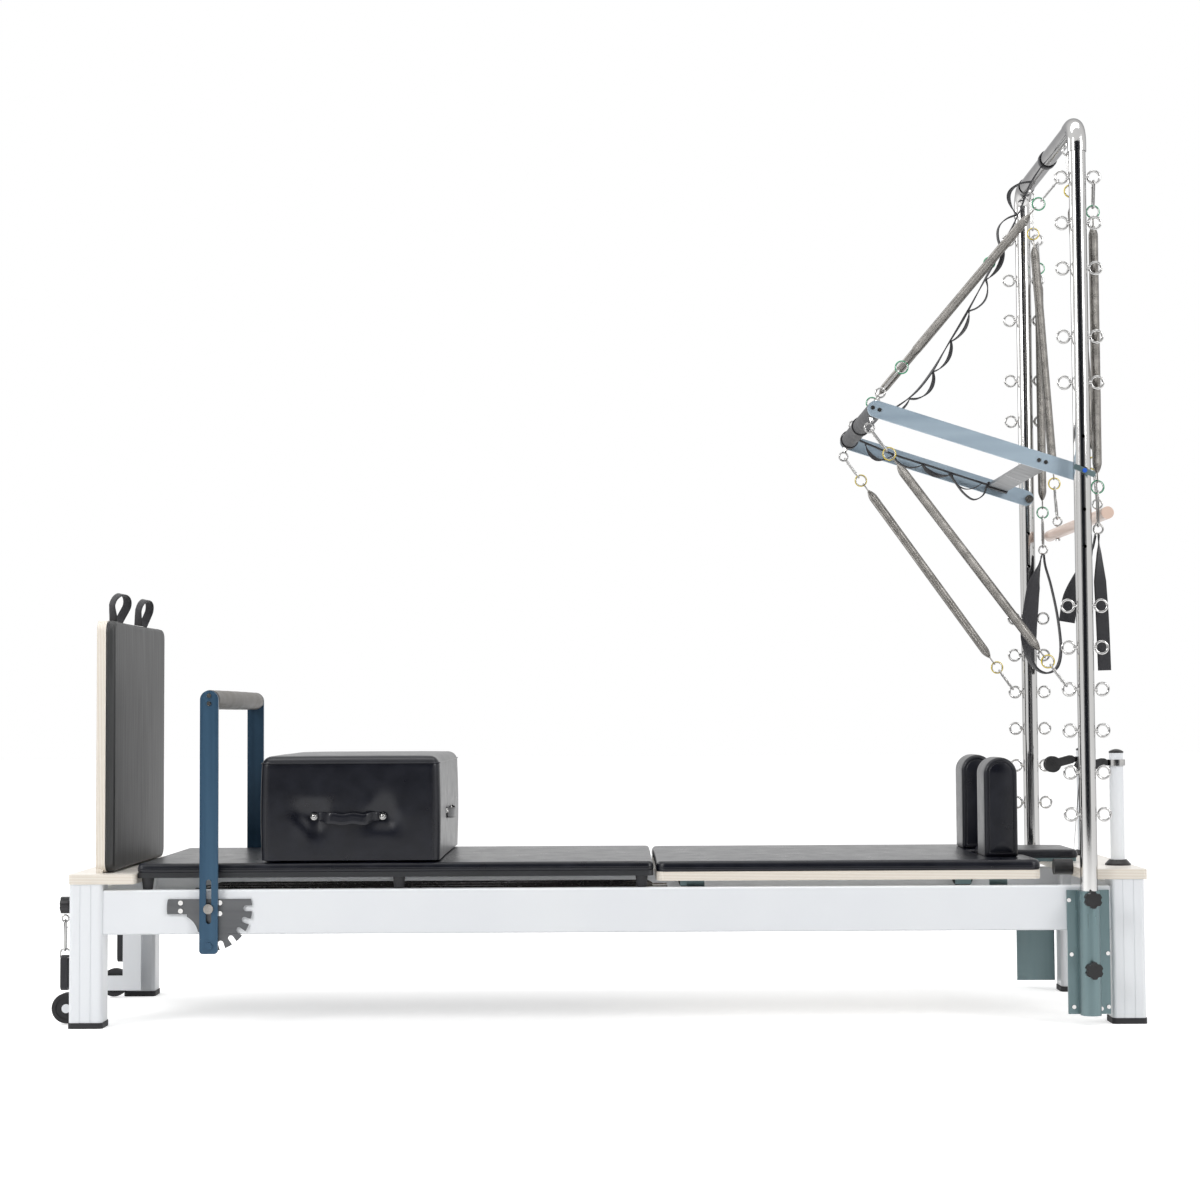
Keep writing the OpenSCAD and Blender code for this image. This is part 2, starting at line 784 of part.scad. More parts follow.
module headrest() {
    board_z = carriage_top + headrest_lift;
    board_top = board_z + headrest_board_t;
    color(leather) cushion([headrest_x, -headrest_w / 2, board_top + touch],
                           [headrest_x + headrest_l, headrest_w / 2, board_top + headrest_pad_t],
                           18, 8, 2, 1.5);
    color(birch) slab([headrest_x + 14, -headrest_w / 2 + 4, board_z],
                      [headrest_x + headrest_l - 4, headrest_w / 2 - 4, board_top], 8);
    color(grey_metal) {
        pin_y(hinge_x, hinge_z, hinge_r, -knuckle_y - knuckle_w - 2, knuckle_y + knuckle_w + 2);
        both() block([hinge_x, -knuckle_y + 4, hinge_z - hinge_r],
                     [headrest_x + 18, -knuckle_y + 34, hinge_z + hinge_r]);
        both() translate([headrest_x + 70, -headrest_w / 2 + 40, carriage_top + touch])
            cylinder(h = headrest_lift, r = 6);
    }
}

module mat_board() {
    color(wrapped_ply)
        slab([mat_x, -mat_w / 2, mat_z], [mat_x + mat_l, mat_w / 2, mat_z + mat_ply], 12);
}

module mat_pad() {
    color(leather) cushion([mat_x, -mat_w / 2 - 1, mat_z + mat_ply],
                           [mat_x + mat_l, mat_w / 2 + 1, mat_z + mat_ply + mat_pad_t],
                           12, 8, 2, 1);
}

module mat_feet() {
    color(black_plastic) both() at_x([mat_x + 22, mat_x + mat_l / 2 + 8, mat_x + mat_l - 26])
        translate([0, mat_foot_r - mat_w / 2, rail_top + touch])
            cylinder(h = mat_foot_h - touch, r1 = mat_foot_r - 3, r2 = mat_foot_r);
}

box_in = 277;
box_x = mat_x + box_in;
box_z = mat_z + mat_ply + mat_pad_t + 0.5;
module exercise_box() {
    color(leather) difference() {
        cushion([box_x, -box_w / 2, box_z], [box_x + box_l, box_w / 2, box_z + box_h],
                14, 14, 3, 2);
        block([box_x + 14, -box_w / 2 + 14, box_z - 1],
              [box_x + box_l - 14, box_w / 2 - 14, box_z + box_h - 16]);
    }
}

handle_up = 103;
handle_z = box_z + handle_up;
handle_half = 70;
eyelet_r = 7;
handle_mid = box_x + box_l / 2 - 4;
module handle_outline() {
    big = (handle_half * handle_half + 12 * 12) / (2 * 12);
    intersection() {
        difference() {
            translate([0, 12 - big]) circle(big + 2, $fn = 120);
            translate([0, 12 - big]) circle(big - 1, $fn = 120);
        }
        translate([-handle_half, -3]) square([2 * handle_half, 30]);
    }
}

module box_handles() {
    color(webbing) both() translate([handle_mid, -box_w / 2 + 0.4, handle_z - 12])
        linear_extrude(25) mirror([0, 1, 0]) handle_outline();
    color(webbing) translate([box_x + box_l - 0.6, 0, handle_z - 12]) rotate([0, 0, -90])
        linear_extrude(25) handle_outline();
    color(polished) both() for (s = [-1, 1])
        pin_y(handle_mid + s * (handle_half + eyelet_r + touch), handle_z, eyelet_r,
              -box_w / 2 - 1, -box_w / 2 + 1);
}

tongue_y = jump_w / 2 - 15;
module jump_board_panel() {
    color(birch) {
        translate([jump_x, 0, cap_top + touch + jump_h / 2]) rotate([90, 0, 90])
            linear_extrude(jump_ply) rrect(jump_w, jump_h, 24);
        both() block([jump_x, -tongue_y - tongue_w / 2, cap_z - tongue_depth],
                     [jump_x + tongue_t, -tongue_y + tongue_w / 2, cap_top + 40]);
    }
}

module jump_board_pad() {
    x = jump_x + jump_ply;
    color(leather) translate([x, 0, cap_top + touch + jump_h / 2]) rotate([0, 90, 0])
        translate([0, 0, jump_pad_t / 2]) cushion(
            [-jump_h / 2 + 1, -jump_w / 2 + 1, -jump_pad_t / 2],
            [jump_h / 2 - 1, jump_w / 2 - 1, jump_pad_t / 2], 24, 9, 4, 2);
}

loop_w = 20;
loop_r = 36;
loop_t = 2.5;
loop_lean = 12;
loop_rise = 4.3;
module jump_board_loops() {
    top = cap_top + touch + jump_h;
    color(webbing) for (y = [-150, 118]) translate([jump_x + 1, y, top])
        rotate([0, loop_lean, 0]) rotate([90, 0, 90]) linear_extrude(loop_w) difference() {
            union() {
                translate([0, loop_r]) circle(loop_r);
                translate([-loop_r, loop_rise]) square([2 * loop_r, loop_r - loop_rise]);
            }
            translate([0, loop_r]) circle(loop_r - loop_t);
            translate([loop_t - loop_r, -1]) square([2 * (loop_r - loop_t), loop_r + 1]);
        }
}

// Parts at the foot end

module lock_knob() {
    color(black_plastic) {
        pin_x(-lock_y, lock_z, lock_pin_r, foot_x - 8, foot_x + 15);
        pin_x(-lock_y, lock_z, 10, foot_x - 5, foot_x - touch);
        difference() {
            pin_x(-lock_y, lock_z, knob_r, foot_x - 24, foot_x - 4);
            for (a = [0 : 45 : 315]) translate([foot_x - 25, -lock_y, lock_z])
                rotate([a, 0, 0]) translate([0, 0, knob_r + 1.5]) rotate([0, 90, 0])
                    cylinder(h = 30, r = 4);
        }
    }
}

module lock_knob_near() {
    lock_knob();
}

module lock_knob_far() {
    mirror([0, 1, 0]) lock_knob();
}

hook_x = foot_x - 15;
hook_r = 7.5;
hook_wire = 2;
hook_gap = 1.5;
hook_z = lock_z - knob_r - hook_gap - hook_r - hook_wire;
hook_clip_l = 72;
dee_w = 26;
dee_l = 24;
hook_start = clip_from(hook_r - hook_wire);
dee_start = hook_start + hook_clip_l - 4 * clip_wire - link_gap;
dee_seat = hook_z - dee_start - dee_l + 2 * clip_wire;
module foot_end_hooks() {
    low = [hook_x, -lock_y, 0];
    eye = [hook_x, -lock_y, hook_z];
    color(polished) both() {
        ring_xz(eye, hook_r, hook_wire);
        pin_x(-lock_y, hook_z, 3, hook_x + hook_r, foot_x);
        clip(along(eye, low, hook_start), along(eye, low, hook_start + hook_clip_l), clip_w, 90);
        clip(along(eye, low, dee_start), along(eye, low, dee_start + dee_l), dee_w, 0);
    }
}

foot_loop_w = 15;
foot_loop_h = 78;
web_t = 3;
module foot_end_straps() {
    color(webbing) both()
        translate([hook_x - foot_loop_w / 2, -lock_y,
                   dee_seat + touch + web_t - foot_loop_h / 2])
            rotate([90, 0, 90]) linear_extrude(foot_loop_w) difference() {
                rrect(34, foot_loop_h, 12);
                rrect(34 - 2 * web_t, foot_loop_h - 2 * web_t, 12 - web_t);
            }
}

wheel_y = leg_in_y - 14;
transport_x = foot_x - transport_reach + transport_r;
transport_z = transport_r + 3;
module transport_wheels() {
    color(black_plastic) both() difference() {
        pin_y(transport_x, transport_z, transport_r, -wheel_y - 12, -wheel_y + 12);
        pin_y(transport_x, transport_z, 6 + run_gap / 2, -wheel_y - 14, -wheel_y + 14);
        for (s = [-1, 1]) translate([transport_x, -wheel_y + s * 12, transport_z])
            rotate([90, 0, 0]) translate([0, 0, -2]) difference() {
                cylinder(h = 4, r = transport_r - 9);
                translate([0, 0, -1]) cylinder(h = 6, r = 12);
            }
    }
}

module transport_brackets() {
    color(white_paint) both() {
        block([foot_x + 3, -wheel_y + 15, transport_z - 18],
              [foot_x + 8 + cross_w, -wheel_y + 20, rail_z + 5]);
        block([transport_x - 14, -wheel_y + 15, transport_z - 18],
              [foot_x + 3, -wheel_y + 20, transport_z + 18]);
        pin_y(transport_x, transport_z, 6, -wheel_y - 14, -wheel_y + 15);
        pin_y(transport_x, transport_z, 10, -wheel_y - 18, -wheel_y - 14);
    }
}

spring_bar_x = foot_x + 190;
spring_z = ledge_z + 22;
module spring_bar() {
    color(grey_metal) difference() {
        block([spring_bar_x, -rail_in + 1, ledge_z],
              [spring_bar_x + 30, rail_in - 1, ledge_z + 8]);
        for (y = [-160 : 80 : 160]) translate([spring_bar_x + 10, y, ledge_z - 1])
            cylinder(h = 12, r = 4);
    }
}

carriage_spring_l = carriage_x - spring_bar_x + 34;
module carriage_springs() {
    color(spring_metal) for (y = [-160 : 80 : 160]) {
        pin_x(y, spring_z, 12, spring_bar_x + 40, spring_bar_x + carriage_spring_l - 30);
        pin_x(y, spring_z, 3, spring_bar_x + 10, spring_bar_x + 41);
        translate([spring_bar_x + 10, y, ledge_z + 8]) cylinder(h = spring_z - ledge_z - 5, r = 3);
        pin_x(y, spring_z, 3, spring_bar_x + carriage_spring_l - 31,
              spring_bar_x + carriage_spring_l);
    }
}

// Tower

module bracket_profile() {
    difference() {
        union() {
            translate([-46, 0]) square([bracket_l, 6]);
            translate([-22, 0]) square([44, upright_y - rail_out]);
            translate([0, upright_y - rail_out]) circle(socket_r);
        }
        translate([0, upright_y - rail_out]) circle(tube_r + run_gap);
    }
}

module tower_brackets() {
    color(grey_metal) both() difference() {
        translate([upright_x, -rail_out, bracket_z]) mirror([0, 1, 0])
            linear_extrude(bracket_h) bracket_profile();
        for (z = knob_levels) pin_y(upright_x, z, 4 + run_gap, -upright_y - 40, -upright_y);
        for (p = bracket_screws) pin_y(upright_x + p.x, bracket_z + bracket_h - p.y, 2.5,
                                       -flange_out - 1, -flange_out + 4);
    }
}

module star_knob(z) {
    y = upright_y + socket_r;
    pin_y(upright_x, z, 4, -y - 8, -upright_y - tube_r - touch);
    difference() {
        union() {
            pin_y(upright_x, z, knob_r, -y - 24, -y - 6);
            pin_y(upright_x, z, 9, -y - 7, -y - touch);
        }
        for (a = [0 : 60 : 300]) translate([upright_x, -y - 30, z]) rotate([0, a, 0])
            translate([knob_r + 3, 0, 0]) rotate([-90, 0, 0]) cylinder(h = 26, r = 6);
    }
}

module star_knobs_upper() {
    color(black_plastic) both() star_knob(knob_levels[0]);
}

module star_knobs_lower() {
    color(black_plastic) both() star_knob(knob_levels[1]);
}

module tower_uprights() {
    color(polished) both() difference() {
        translate([upright_x, -upright_y, bracket_z + 4]) difference() {
            cylinder(h = cross_z - bend_r - bracket_z - 4, r = tube_r);
            translate([0, 0, -1]) cylinder(h = tower_h, r = tube_r - tube_wall);
        }
        for (z = eye_levels)
            pin_x(-upright_y, z, eye_shank_r + run_gap, upright_x - 30, upright_x + 30);
        for (z = spare_hole_levels) pin_y(upright_x, z, 4, -upright_y - 30, -upright_y + 30);
        pin_y(upright_x, ptb_z, ptb_bolt_r + run_gap / 2, -upright_y - 30, -upright_y + 30);
    }
}

module tower_elbows() {
    color(polished) both() translate([upright_x, -upright_y, cross_z - bend_r])
        translate([0, bend_r, 0]) rotate([0, -90, 0]) mirror([0, 1, 0]) {
            rotate_extrude(angle = 90, $fn = 64) translate([bend_r, 0]) difference() {
                circle(elbow_r);
                circle(tube_r - tube_wall);
            }
            translate([bend_r, 0, 0]) rotate([90, 0, 0]) difference() {
                cylinder(h = sleeve_l, r = elbow_r);
                translate([0, 0, -1]) cylinder(h = sleeve_l + 2, r = tube_r);
            }
            translate([0, bend_r, 0]) rotate([0, -90, 0]) difference() {
                cylinder(h = sleeve_l, r = elbow_r);
                translate([0, 0, -1]) cylinder(h = sleeve_l + 2, r = tube_r);
            }
        }
}

module tower_cross_tube() {
    color(polished) difference() {
        pin_y(upright_x, cross_z, tube_r, -upright_y + bend_r, upright_y - bend_r);
        pin_y(upright_x, cross_z, tube_r - tube_wall, -upright_y, upright_y);
        for (s = [-1, 1]) translate([upright_x, s * roll_y, cross_z - 30])
            cylinder(h = 60, r = 3.5);
    }
}

module tower_eyebolts() {
    color(polished) {
        both() for (z = eye_levels) {
            pin_x(-upright_y, z, eye_shank_r, upright_x - eye_reach + eye_r + 1,
                  upright_x + eye_reach - eye_r - 1);
            for (s = [-1, 1])
                ring_xz([upright_x + s * eye_reach, -upright_y, z], eye_r + eye_wire, eye_wire);
        }
        both() {
            translate([upright_x, -roll_y, roll_eye_z + bar_ring_r])
                cylinder(h = cross_z + tube_r + 4 - roll_eye_z - bar_ring_r, r = 3.4);
            ring_xz([upright_x, -roll_y, roll_eye_z], bar_ring_r, bar_ring_wire);
        }
    }
}

// Chains of the push-through bar: eye, clip, ring, spring, ring, clip, eye
upper_level = eye_levels[10];
lower_level = eye_levels[3];
upper_eye = [upright_x - eye_reach, -upright_y, upper_level];
lower_eye = [upright_x - eye_reach, -upright_y, lower_level];
bar_eye_up = ptb_at(ptb_r, ptb_eye_h, -ptb_eye_y);
bar_eye_down = ptb_at(ptb_r, -ptb_eye_h, -ptb_eye_y);

// The clip and the coloured ring behind the eye at a, on the way to b
module chain_end(a, b, eye_in, clip_l) {
    start = clip_from(eye_in);
    color(polished) clip(along(a, b, start), along(a, b, start + clip_l), clip_w, 90);
    color(ring_colour) ring_xz(along(a, b, ring_from(eye_in, clip_l)), ring_r, ring_wire);
}

// The spring of a chain between the eyes at a and b
module chain_spring(a, b, in_a, clip_a, in_b, clip_b, turns) {
    spring(along(a, b, spring_from(in_a, clip_a)), along(b, a, spring_from(in_b, clip_b)), turns);
}

module tower_clips() {
    both() {
        chain_end(upper_eye, bar_eye_up, eye_r, clip_l);
        chain_end(lower_eye, bar_eye_down, eye_r, clip_l);
    }
}

module ptb_springs() {
    both() {
        chain_spring(upper_eye, bar_eye_up, eye_r, clip_l, bar_eye_in, clip_l, 9);
        chain_spring(lower_eye, bar_eye_down, eye_r, clip_l, bar_eye_in, clip_l, 12);
    }
}

// Push-through bar

module ptb_place() {
    translate([upright_x, 0, ptb_z]) rotate([0, ptb_angle, 0]) children();
}

module ptb_arms() {
    color(pale_steel) both() ptb_place() translate([0, -ptb_arm_out + ptb_arm_t, 0])
        rotate([90, 0, 0]) linear_extrude(ptb_arm_t) difference() {
            translate([-ptb_r / 2 - 4, 0]) rrect(ptb_r + ptb_arm_w - 8, ptb_arm_w, ptb_arm_w / 2 - 0.1);
            circle(ptb_bolt_r);
            for (d = [8, -8]) {
                translate([-ptb_r + d, 0]) circle(2.5);
                translate([-ptb_brace_d + d, 0]) circle(2.5);
            }
        }
}

module ptb_tube() {
    color(polished) ptb_place() {
        difference() {
            pin_y(-ptb_r, 0, ptb_tube_r, -ptb_in, ptb_in);
            both() translate([-ptb_r, -ptb_eye_y, -40]) cylinder(h = 80, r = 3.5);
        }
        both() for (d = [ptb_r, ptb_brace_d], s = [-8, 8])
            cap_screw(-d + s, 0, -ptb_arm_out, 2.5, 4.5, 2, ptb_arm_t - touch);
        both() {
            pin_y(0, 0, ptb_bolt_r, -ptb_arm_out, -ptb_in + 2);
            pin_y(0, 0, 10, -ptb_in, -ptb_in + 6);
            pin_y(0, 0, ptb_bolt_r, -upright_y - tube_r - 1, -ptb_arm_out + 1);
            pin_y(0, 0, 9, -upright_y - tube_r - 4, -upright_y - tube_r - touch);
            pin_y(0, 0, latch_pin_r, -latch_y - latch_t + 1, -upright_y - tube_r - 3);
        }
    }
}

module ptb_pad() {
    color(dark_plate) ptb_place() difference() {
        pin_y(-ptb_r, 0, ptb_pad_r, -ptb_in + 1, ptb_in - 1);
        pin_y(-ptb_r, 0, ptb_tube_r, -ptb_in, ptb_in);
        both() translate([-ptb_r, -ptb_eye_y, -40]) cylinder(h = 80, r = 4);
    }
}

module ptb_brace() {
    color(dark_plate) ptb_place()
        block([-ptb_brace_d - ptb_brace_w / 2, -ptb_in, -ptb_brace_t / 2],
              [-ptb_brace_d + ptb_brace_w / 2, ptb_in, ptb_brace_t / 2]);
}

module ptb_clips() {
    both() {
        color(polished) ptb_place() {
            translate([-ptb_r, -ptb_eye_y, -ptb_eye_h + 12]) cylinder(h = 2 * ptb_eye_h - 24, r = 3.5);
            for (s = [-1, 1])
                ring_xz([-ptb_r, -ptb_eye_y, s * ptb_eye_h], bar_ring_r, bar_ring_wire);
        }
        chain_end(bar_eye_up, upper_eye, bar_eye_in, clip_l);
        chain_end(bar_eye_down, lower_eye, bar_eye_in, clip_l);
    }
}

module ptb_latch() {
    color(grey_metal) translate([upright_x, -latch_y, ptb_z]) rotate([90, 0, 0])
        rotate([0, 0, -24]) linear_extrude(latch_t) difference() {
            rrect(52, 12, 4);
            circle(latch_pin_r + run_gap / 2);
        }
    color(latch_blue) pin_y(upright_x, ptb_z, 5, -latch_y - latch_t - 3, -latch_y - latch_t);
}

// Leg springs with their webbing loops

// The chain hangs just inside the lower rings of the upright
leg_eye = [upright_x + eye_reach, -upright_y, upper_level];
leg_in = spring_r + eye_wire + 1;
leg_slack = 0.5;
leg_clip_w = 24;
leg_clip_l = 84;
leg_turns = 12;
leg_top_l = ring_from(eye_r, clip_l);
leg_ring = leg_eye + [0, leg_in, -sqrt(leg_top_l * leg_top_l - leg_in * leg_in)];
leg_drop = 795;
leg_dee = [leg_ring.x, leg_ring.y, upper_level - leg_drop];
module leg_chain() {
    color(polished) clip(along(leg_eye, leg_ring, clip_from(eye_r) - leg_slack),
                         along(leg_eye, leg_ring, clip_from(eye_r) + clip_l + leg_slack),
                         leg_clip_w, 0);
    color(ring_colour) ring_xz(leg_ring, ring_r, ring_wire);
    chain_end(leg_dee, leg_ring, bar_eye_in, leg_clip_l);
    color(polished) ring_xz(leg_dee, bar_ring_r, bar_ring_wire);
    spring(along(leg_ring, leg_dee, ring_r + ring_wire + link_gap),
           along(leg_dee, leg_ring, spring_from(bar_eye_in, leg_clip_l)), leg_turns);
}

// Hand-set routes of the straps from the lower ring of a leg spring: point and width direction
near_long = [
    [[0, -1, -13.1], [0, 1, 0]], [[0, -1, -36], [0.3, 1, 0]], [[1, 2, -66], [1, 1, 0]],
    [[3, 6, -117], [1, 0.3, 0]], [[7, 7, -202], [1, 0.2, 0]], [[10, 7, -317], [1, 0.2, 0]]
];
near_short = [
    [[-5.5, 4, -13.1], [0, 1, 0]], [[-10, 16, -40], [0, 1, 0]], [[-18, 31, -70], [1, 1, 0]],
    [[-33, 36, -102], [1, 0.3, 0]], [[-56, 36, -152], [1, 0, 0]], [[-66, 36, -207], [1, 0, 0]]
];
far_loop = [
    [[-5, -4, -13.1], [0, 1, 0]], [[-13, -12, -42], [0.4, 1, 0]], [[-30, -24, -92], [1, 0.6, 0]],
    [[-40, -31, -152], [1, 0.2, 0]], [[-46, -34, -202], [1, 0, 0]],
    [[-47, -33, -240], [0.7, -0.7, 0]], [[-44, -31, -276], [0.2, -1, 0]],
    [[-26, -28, -302], [0, -1, 0]], [[0, -26, -312], [0, -1, 0]], [[26, -24, -296], [0, -1, 0]],
    [[36, -21, -250], [0, -1, 0]], [[30, -17, -172], [0, -1, 0]], [[16, -10, -92], [0, -1, 0]],
    [[4, -3, -42], [0, -1, 0]], [[1, 0, -13.1], [0, -1, 0]]
];
strap_w = 40;
strap_steps = 6;

module leg_spring_near() {
    leg_chain();
    color(webbing) translate(leg_dee) {
        strap(rounded(near_long, strap_steps), strap_w, 5);
        strap(rounded(near_short, strap_steps), strap_w, 5);
    }
}

module leg_spring_far() {
    mirror([0, 1, 0]) leg_chain();
    color(webbing) translate([leg_dee.x, -leg_dee.y, leg_dee.z])
        strap(rounded(far_loop, strap_steps), strap_w, 4);
}

// Roll-down bar

roll_top = [upright_x, -roll_y, roll_eye_z];
roll_low = [dowel_x, -roll_y, dowel_z + dowel_r + bar_ring_r + 4];
roll_clip_top = 84;
roll_clip_low = 84;
roll_turns = 12;
module roll_down_bar() {
    color(maple) difference() {
        pin_y(dowel_x, dowel_z, dowel_r, -dowel_half, dowel_half);
        for (s = [-1, 1]) translate([dowel_x, s * roll_y, dowel_z - 20]) cylinder(h = 40, r = 3);
    }
}

module roll_down_springs() {
    both() {
        color(polished) {
            translate([dowel_x, -roll_y, dowel_z - dowel_r - 5])
                cylinder(h = roll_low.z - bar_ring_r - dowel_z + dowel_r + 5, r = 3);
            translate([dowel_x, -roll_y, dowel_z - dowel_r - 6]) cylinder(h = 6, r = 6);
            ring_xz(roll_low, bar_ring_r, bar_ring_wire);
        }
        chain_end(roll_top, roll_low, bar_eye_in, roll_clip_top);
        chain_end(roll_low, roll_top, bar_eye_in, roll_clip_low);
        chain_spring(roll_top, roll_low, bar_eye_in, roll_clip_top,
                     bar_eye_in, roll_clip_low, roll_turns);
    }
}

// Safety strap from the cross tube to the push-through bar

safety_w = 20;
safety_t = 2.5;
bar_x = ptb_at(ptb_r, 0, 0).x;
bar_z = ptb_at(ptb_r, 0, 0).z;
// The long run between its two ends: share of the way, side shift and sag
strap_seat = 1.5;
safety_top = [upright_x, 0, cross_z] - (tube_r + strap_seat) * unit([1, 0, 1]);
safety_end = [bar_x, 0, bar_z] + (ptb_pad_r + strap_seat) * unit([1, 0, 1]);
safety_shape = [
    [0, 0, 0], [0.07, 4, 7], [0.12, 8, 31], [0.19, 12, 52], [0.28, 16, 67], [0.36, 18, 81],
    [0.45, 18, 94], [0.54, 16, 101], [0.63, 14, 109], [0.72, 12, 102], [0.82, 10, 73],
    [0.91, 7, 40], [1, 4, 0]
];
safety_long = [
    for (p = safety_shape)
        [lerp(safety_top, safety_end, p.x) + [0, p.y, -p.z], [0, 1, 0]]
];
// Along the far arm: distance along the arm, side shift from its inner face and height
safety_side = [
    [459, -42, 7], [429, -40, 4], [354, -24, 1], [260, -22, 1], [175, -22, 0], [115.3, -22, 0]
];
safety_tail = [
    [114.5, -22, -2.5], [117, -24, -30], [136, -26, -47], [164, -26, -40], [192, -24, -20],
    [217, -22, 1]
];
function arm_route(points) = [for (p = points) [ptb_at(p.x, p.z, ptb_in + p.y), [0, 1, 0]]];

// A band of webbing round a tube along Y, with a small gap to it
module wrap(x, z, r, y) {
    difference() {
        pin_y(x, z, r + touch + safety_t, y - safety_w / 2, y + safety_w / 2);
        pin_y(x, z, r + touch, y - safety_w, y + safety_w);
    }
}

// A band round the brace of the push-through bar
module brace_band(y) {
    half = [ptb_brace_w / 2 + touch, ptb_brace_t / 2 + touch];
    ptb_place() difference() {
        block([-ptb_brace_d - half.x - safety_t, y - safety_w / 2, -half.y - safety_t],
              [-ptb_brace_d + half.x + safety_t, y + safety_w / 2, half.y + safety_t]);
        block([-ptb_brace_d - half.x, y - safety_w, -half.y],
              [-ptb_brace_d + half.x, y + safety_w, half.y]);
    }
}

module safety_strap() {
    color(webbing) {
        strap(safety_long, safety_w, safety_t);
        wrap(upright_x, cross_z, tube_r, safety_shape[0].y);
        wrap(bar_x, bar_z, ptb_pad_r, safety_shape[len(safety_shape) - 1].y);
        strap(arm_route(safety_side), safety_w, safety_t);
        strap(arm_route(safety_tail), safety_w, safety_t);
        wrap(bar_x, bar_z, ptb_pad_r, ptb_in + safety_side[0].y);
        brace_band(ptb_in + safety_side[len(safety_side) - 1].y);
    }
}

// Risers and pulleys

module riser_posts() {
    color(white_paint) both() translate([riser_x, -riser_y, cap_top])
        difference() {
            cylinder(h = riser_h - 6, r = riser_r);
            translate([0, 0, -1]) cylinder(h = riser_h + 2, r = riser_r - 2);
        }
}

module riser_fittings() {
    color(black_plastic) both()
        pin_x(-bumper_y, carriage_top, bumper_r, bumper_x, head_x - cap_head_l);
    color(black_plastic) both() translate([riser_x, -riser_y, cap_top]) {
        difference() {
            union() {
                cylinder(h = 4, r = 29);
                translate([0, 0, 4]) cylinder(h = 9, r1 = 28, r2 = riser_r + 4);
            }
            translate([0, 0, -1]) cylinder(h = 20, r = riser_r);
        }
        translate([0, 0, riser_h - 6]) cylinder(h = 4, r = riser_r + 0.5);
        translate([0, 0, riser_h - 2]) intersection() {
            translate([0, 0, -22]) sphere(27);
            cylinder(h = 6, r = riser_r + 0.5);
        }
    }
    color(polished) both() difference() {
        union() {
            translate([riser_x, -riser_y, pulley_z - 7]) cylinder(h = 14, r = riser_r + 4);
            block([pulley_pin_x - 7, -riser_y - 3, pulley_z - 6],
                  [riser_x - riser_r, -riser_y + 3, pulley_z + 6]);
        }
        translate([riser_x, -riser_y, pulley_z - 20]) cylinder(h = 40, r = riser_r);
        pin_y(pulley_pin_x, pulley_z, pulley_pin_r, -riser_y - 10, -riser_y + 10);
    }
}

pulley_z = cap_top + 234;
pulley_pin_x = riser_x - riser_r - 15;
pulley_pin_r = 3;
pulley_reach = 46;
pulley_droop = 15;
pulley_body_r = 20;
sheave_r = 17;
module pulley_place() {
    translate([pulley_pin_x, -riser_y, pulley_z]) rotate([0, -pulley_droop, 0]) children();
}

module pulley_blocks() {
    color(black_plastic) both() pulley_place() {
        for (y = [-11, 7]) translate([0, y, 0]) rotate([-90, 0, 0]) linear_extrude(4) {
            circle(pulley_body_r / 2);
            translate([-pulley_reach, -pulley_body_r / 2]) square([pulley_reach, pulley_body_r]);
            translate([-pulley_reach, 0]) circle(pulley_body_r);
        }
        pin_y(0, 0, pulley_pin_r - run_gap / 2, -12, 12);
        pin_y(-pulley_reach, 0, pulley_pin_r, -12, 12);
    }
}

module pulley_sheaves() {
    color(white_paint) both() pulley_place() difference() {
        pin_y(-pulley_reach, 0, sheave_r, -6, 6);
        pin_y(-pulley_reach, 0, pulley_pin_r + run_gap / 2, -8, 8);
        translate([-pulley_reach, 0, 0]) rotate([90, 0, 0]) ring(sheave_r + 2, 5);
    }
}

side_rails();
legs();
foot_caps();
cross_members();
end_cap_foot();
end_cap_head();
footbar_plates();
frame_screws();
tower_brackets();
star_knobs_upper();
star_knobs_lower();
tower_uprights();
tower_elbows();
tower_cross_tube();
tower_eyebolts();
tower_clips();
riser_posts();
riser_fittings();
pulley_blocks();
pulley_sheaves();
transport_wheels();
transport_brackets();
lock_knob_near();
lock_knob_far();
foot_end_hooks();
foot_end_straps();
carriage_springs();
spring_bar();
carriage_platform();
carriage_pad();
wheel_set_foot();
wheel_set_head();
wheel_axles();
shoulder_rest_near();
shoulder_rest_far();
headrest();
mat_board();
mat_pad();
mat_feet();
exercise_box();
box_handles();
jump_board_panel();
jump_board_pad();
jump_board_loops();
footbar_arms();
footbar_tube();
footbar_pad();
footbar_pivots();
ptb_arms();
ptb_tube();
ptb_pad();
ptb_brace();
ptb_clips();
ptb_latch();
ptb_springs();
leg_spring_near();
leg_spring_far();
roll_down_bar();
roll_down_springs();
safety_strap();
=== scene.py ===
"""Looks for the pilates tower unit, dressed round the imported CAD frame.

The CAD nodes give every rigid form and keep their meshes. This script gives them finishes,
and replaces the soft and wound pieces (upholstery, webbing, springs, clips and rings) with
fuller meshes that stand where the CAD solids stand. All lengths are in metres, in the frame
of the CAD: +X towards the tower, -Y the near side, +Z up.
"""

import json
import logging
import math
from dataclasses import dataclass
from enum import Enum
from typing import Callable, Iterable, Optional, Sequence

import bpy
import numpy as np
from mathutils import Matrix, Vector

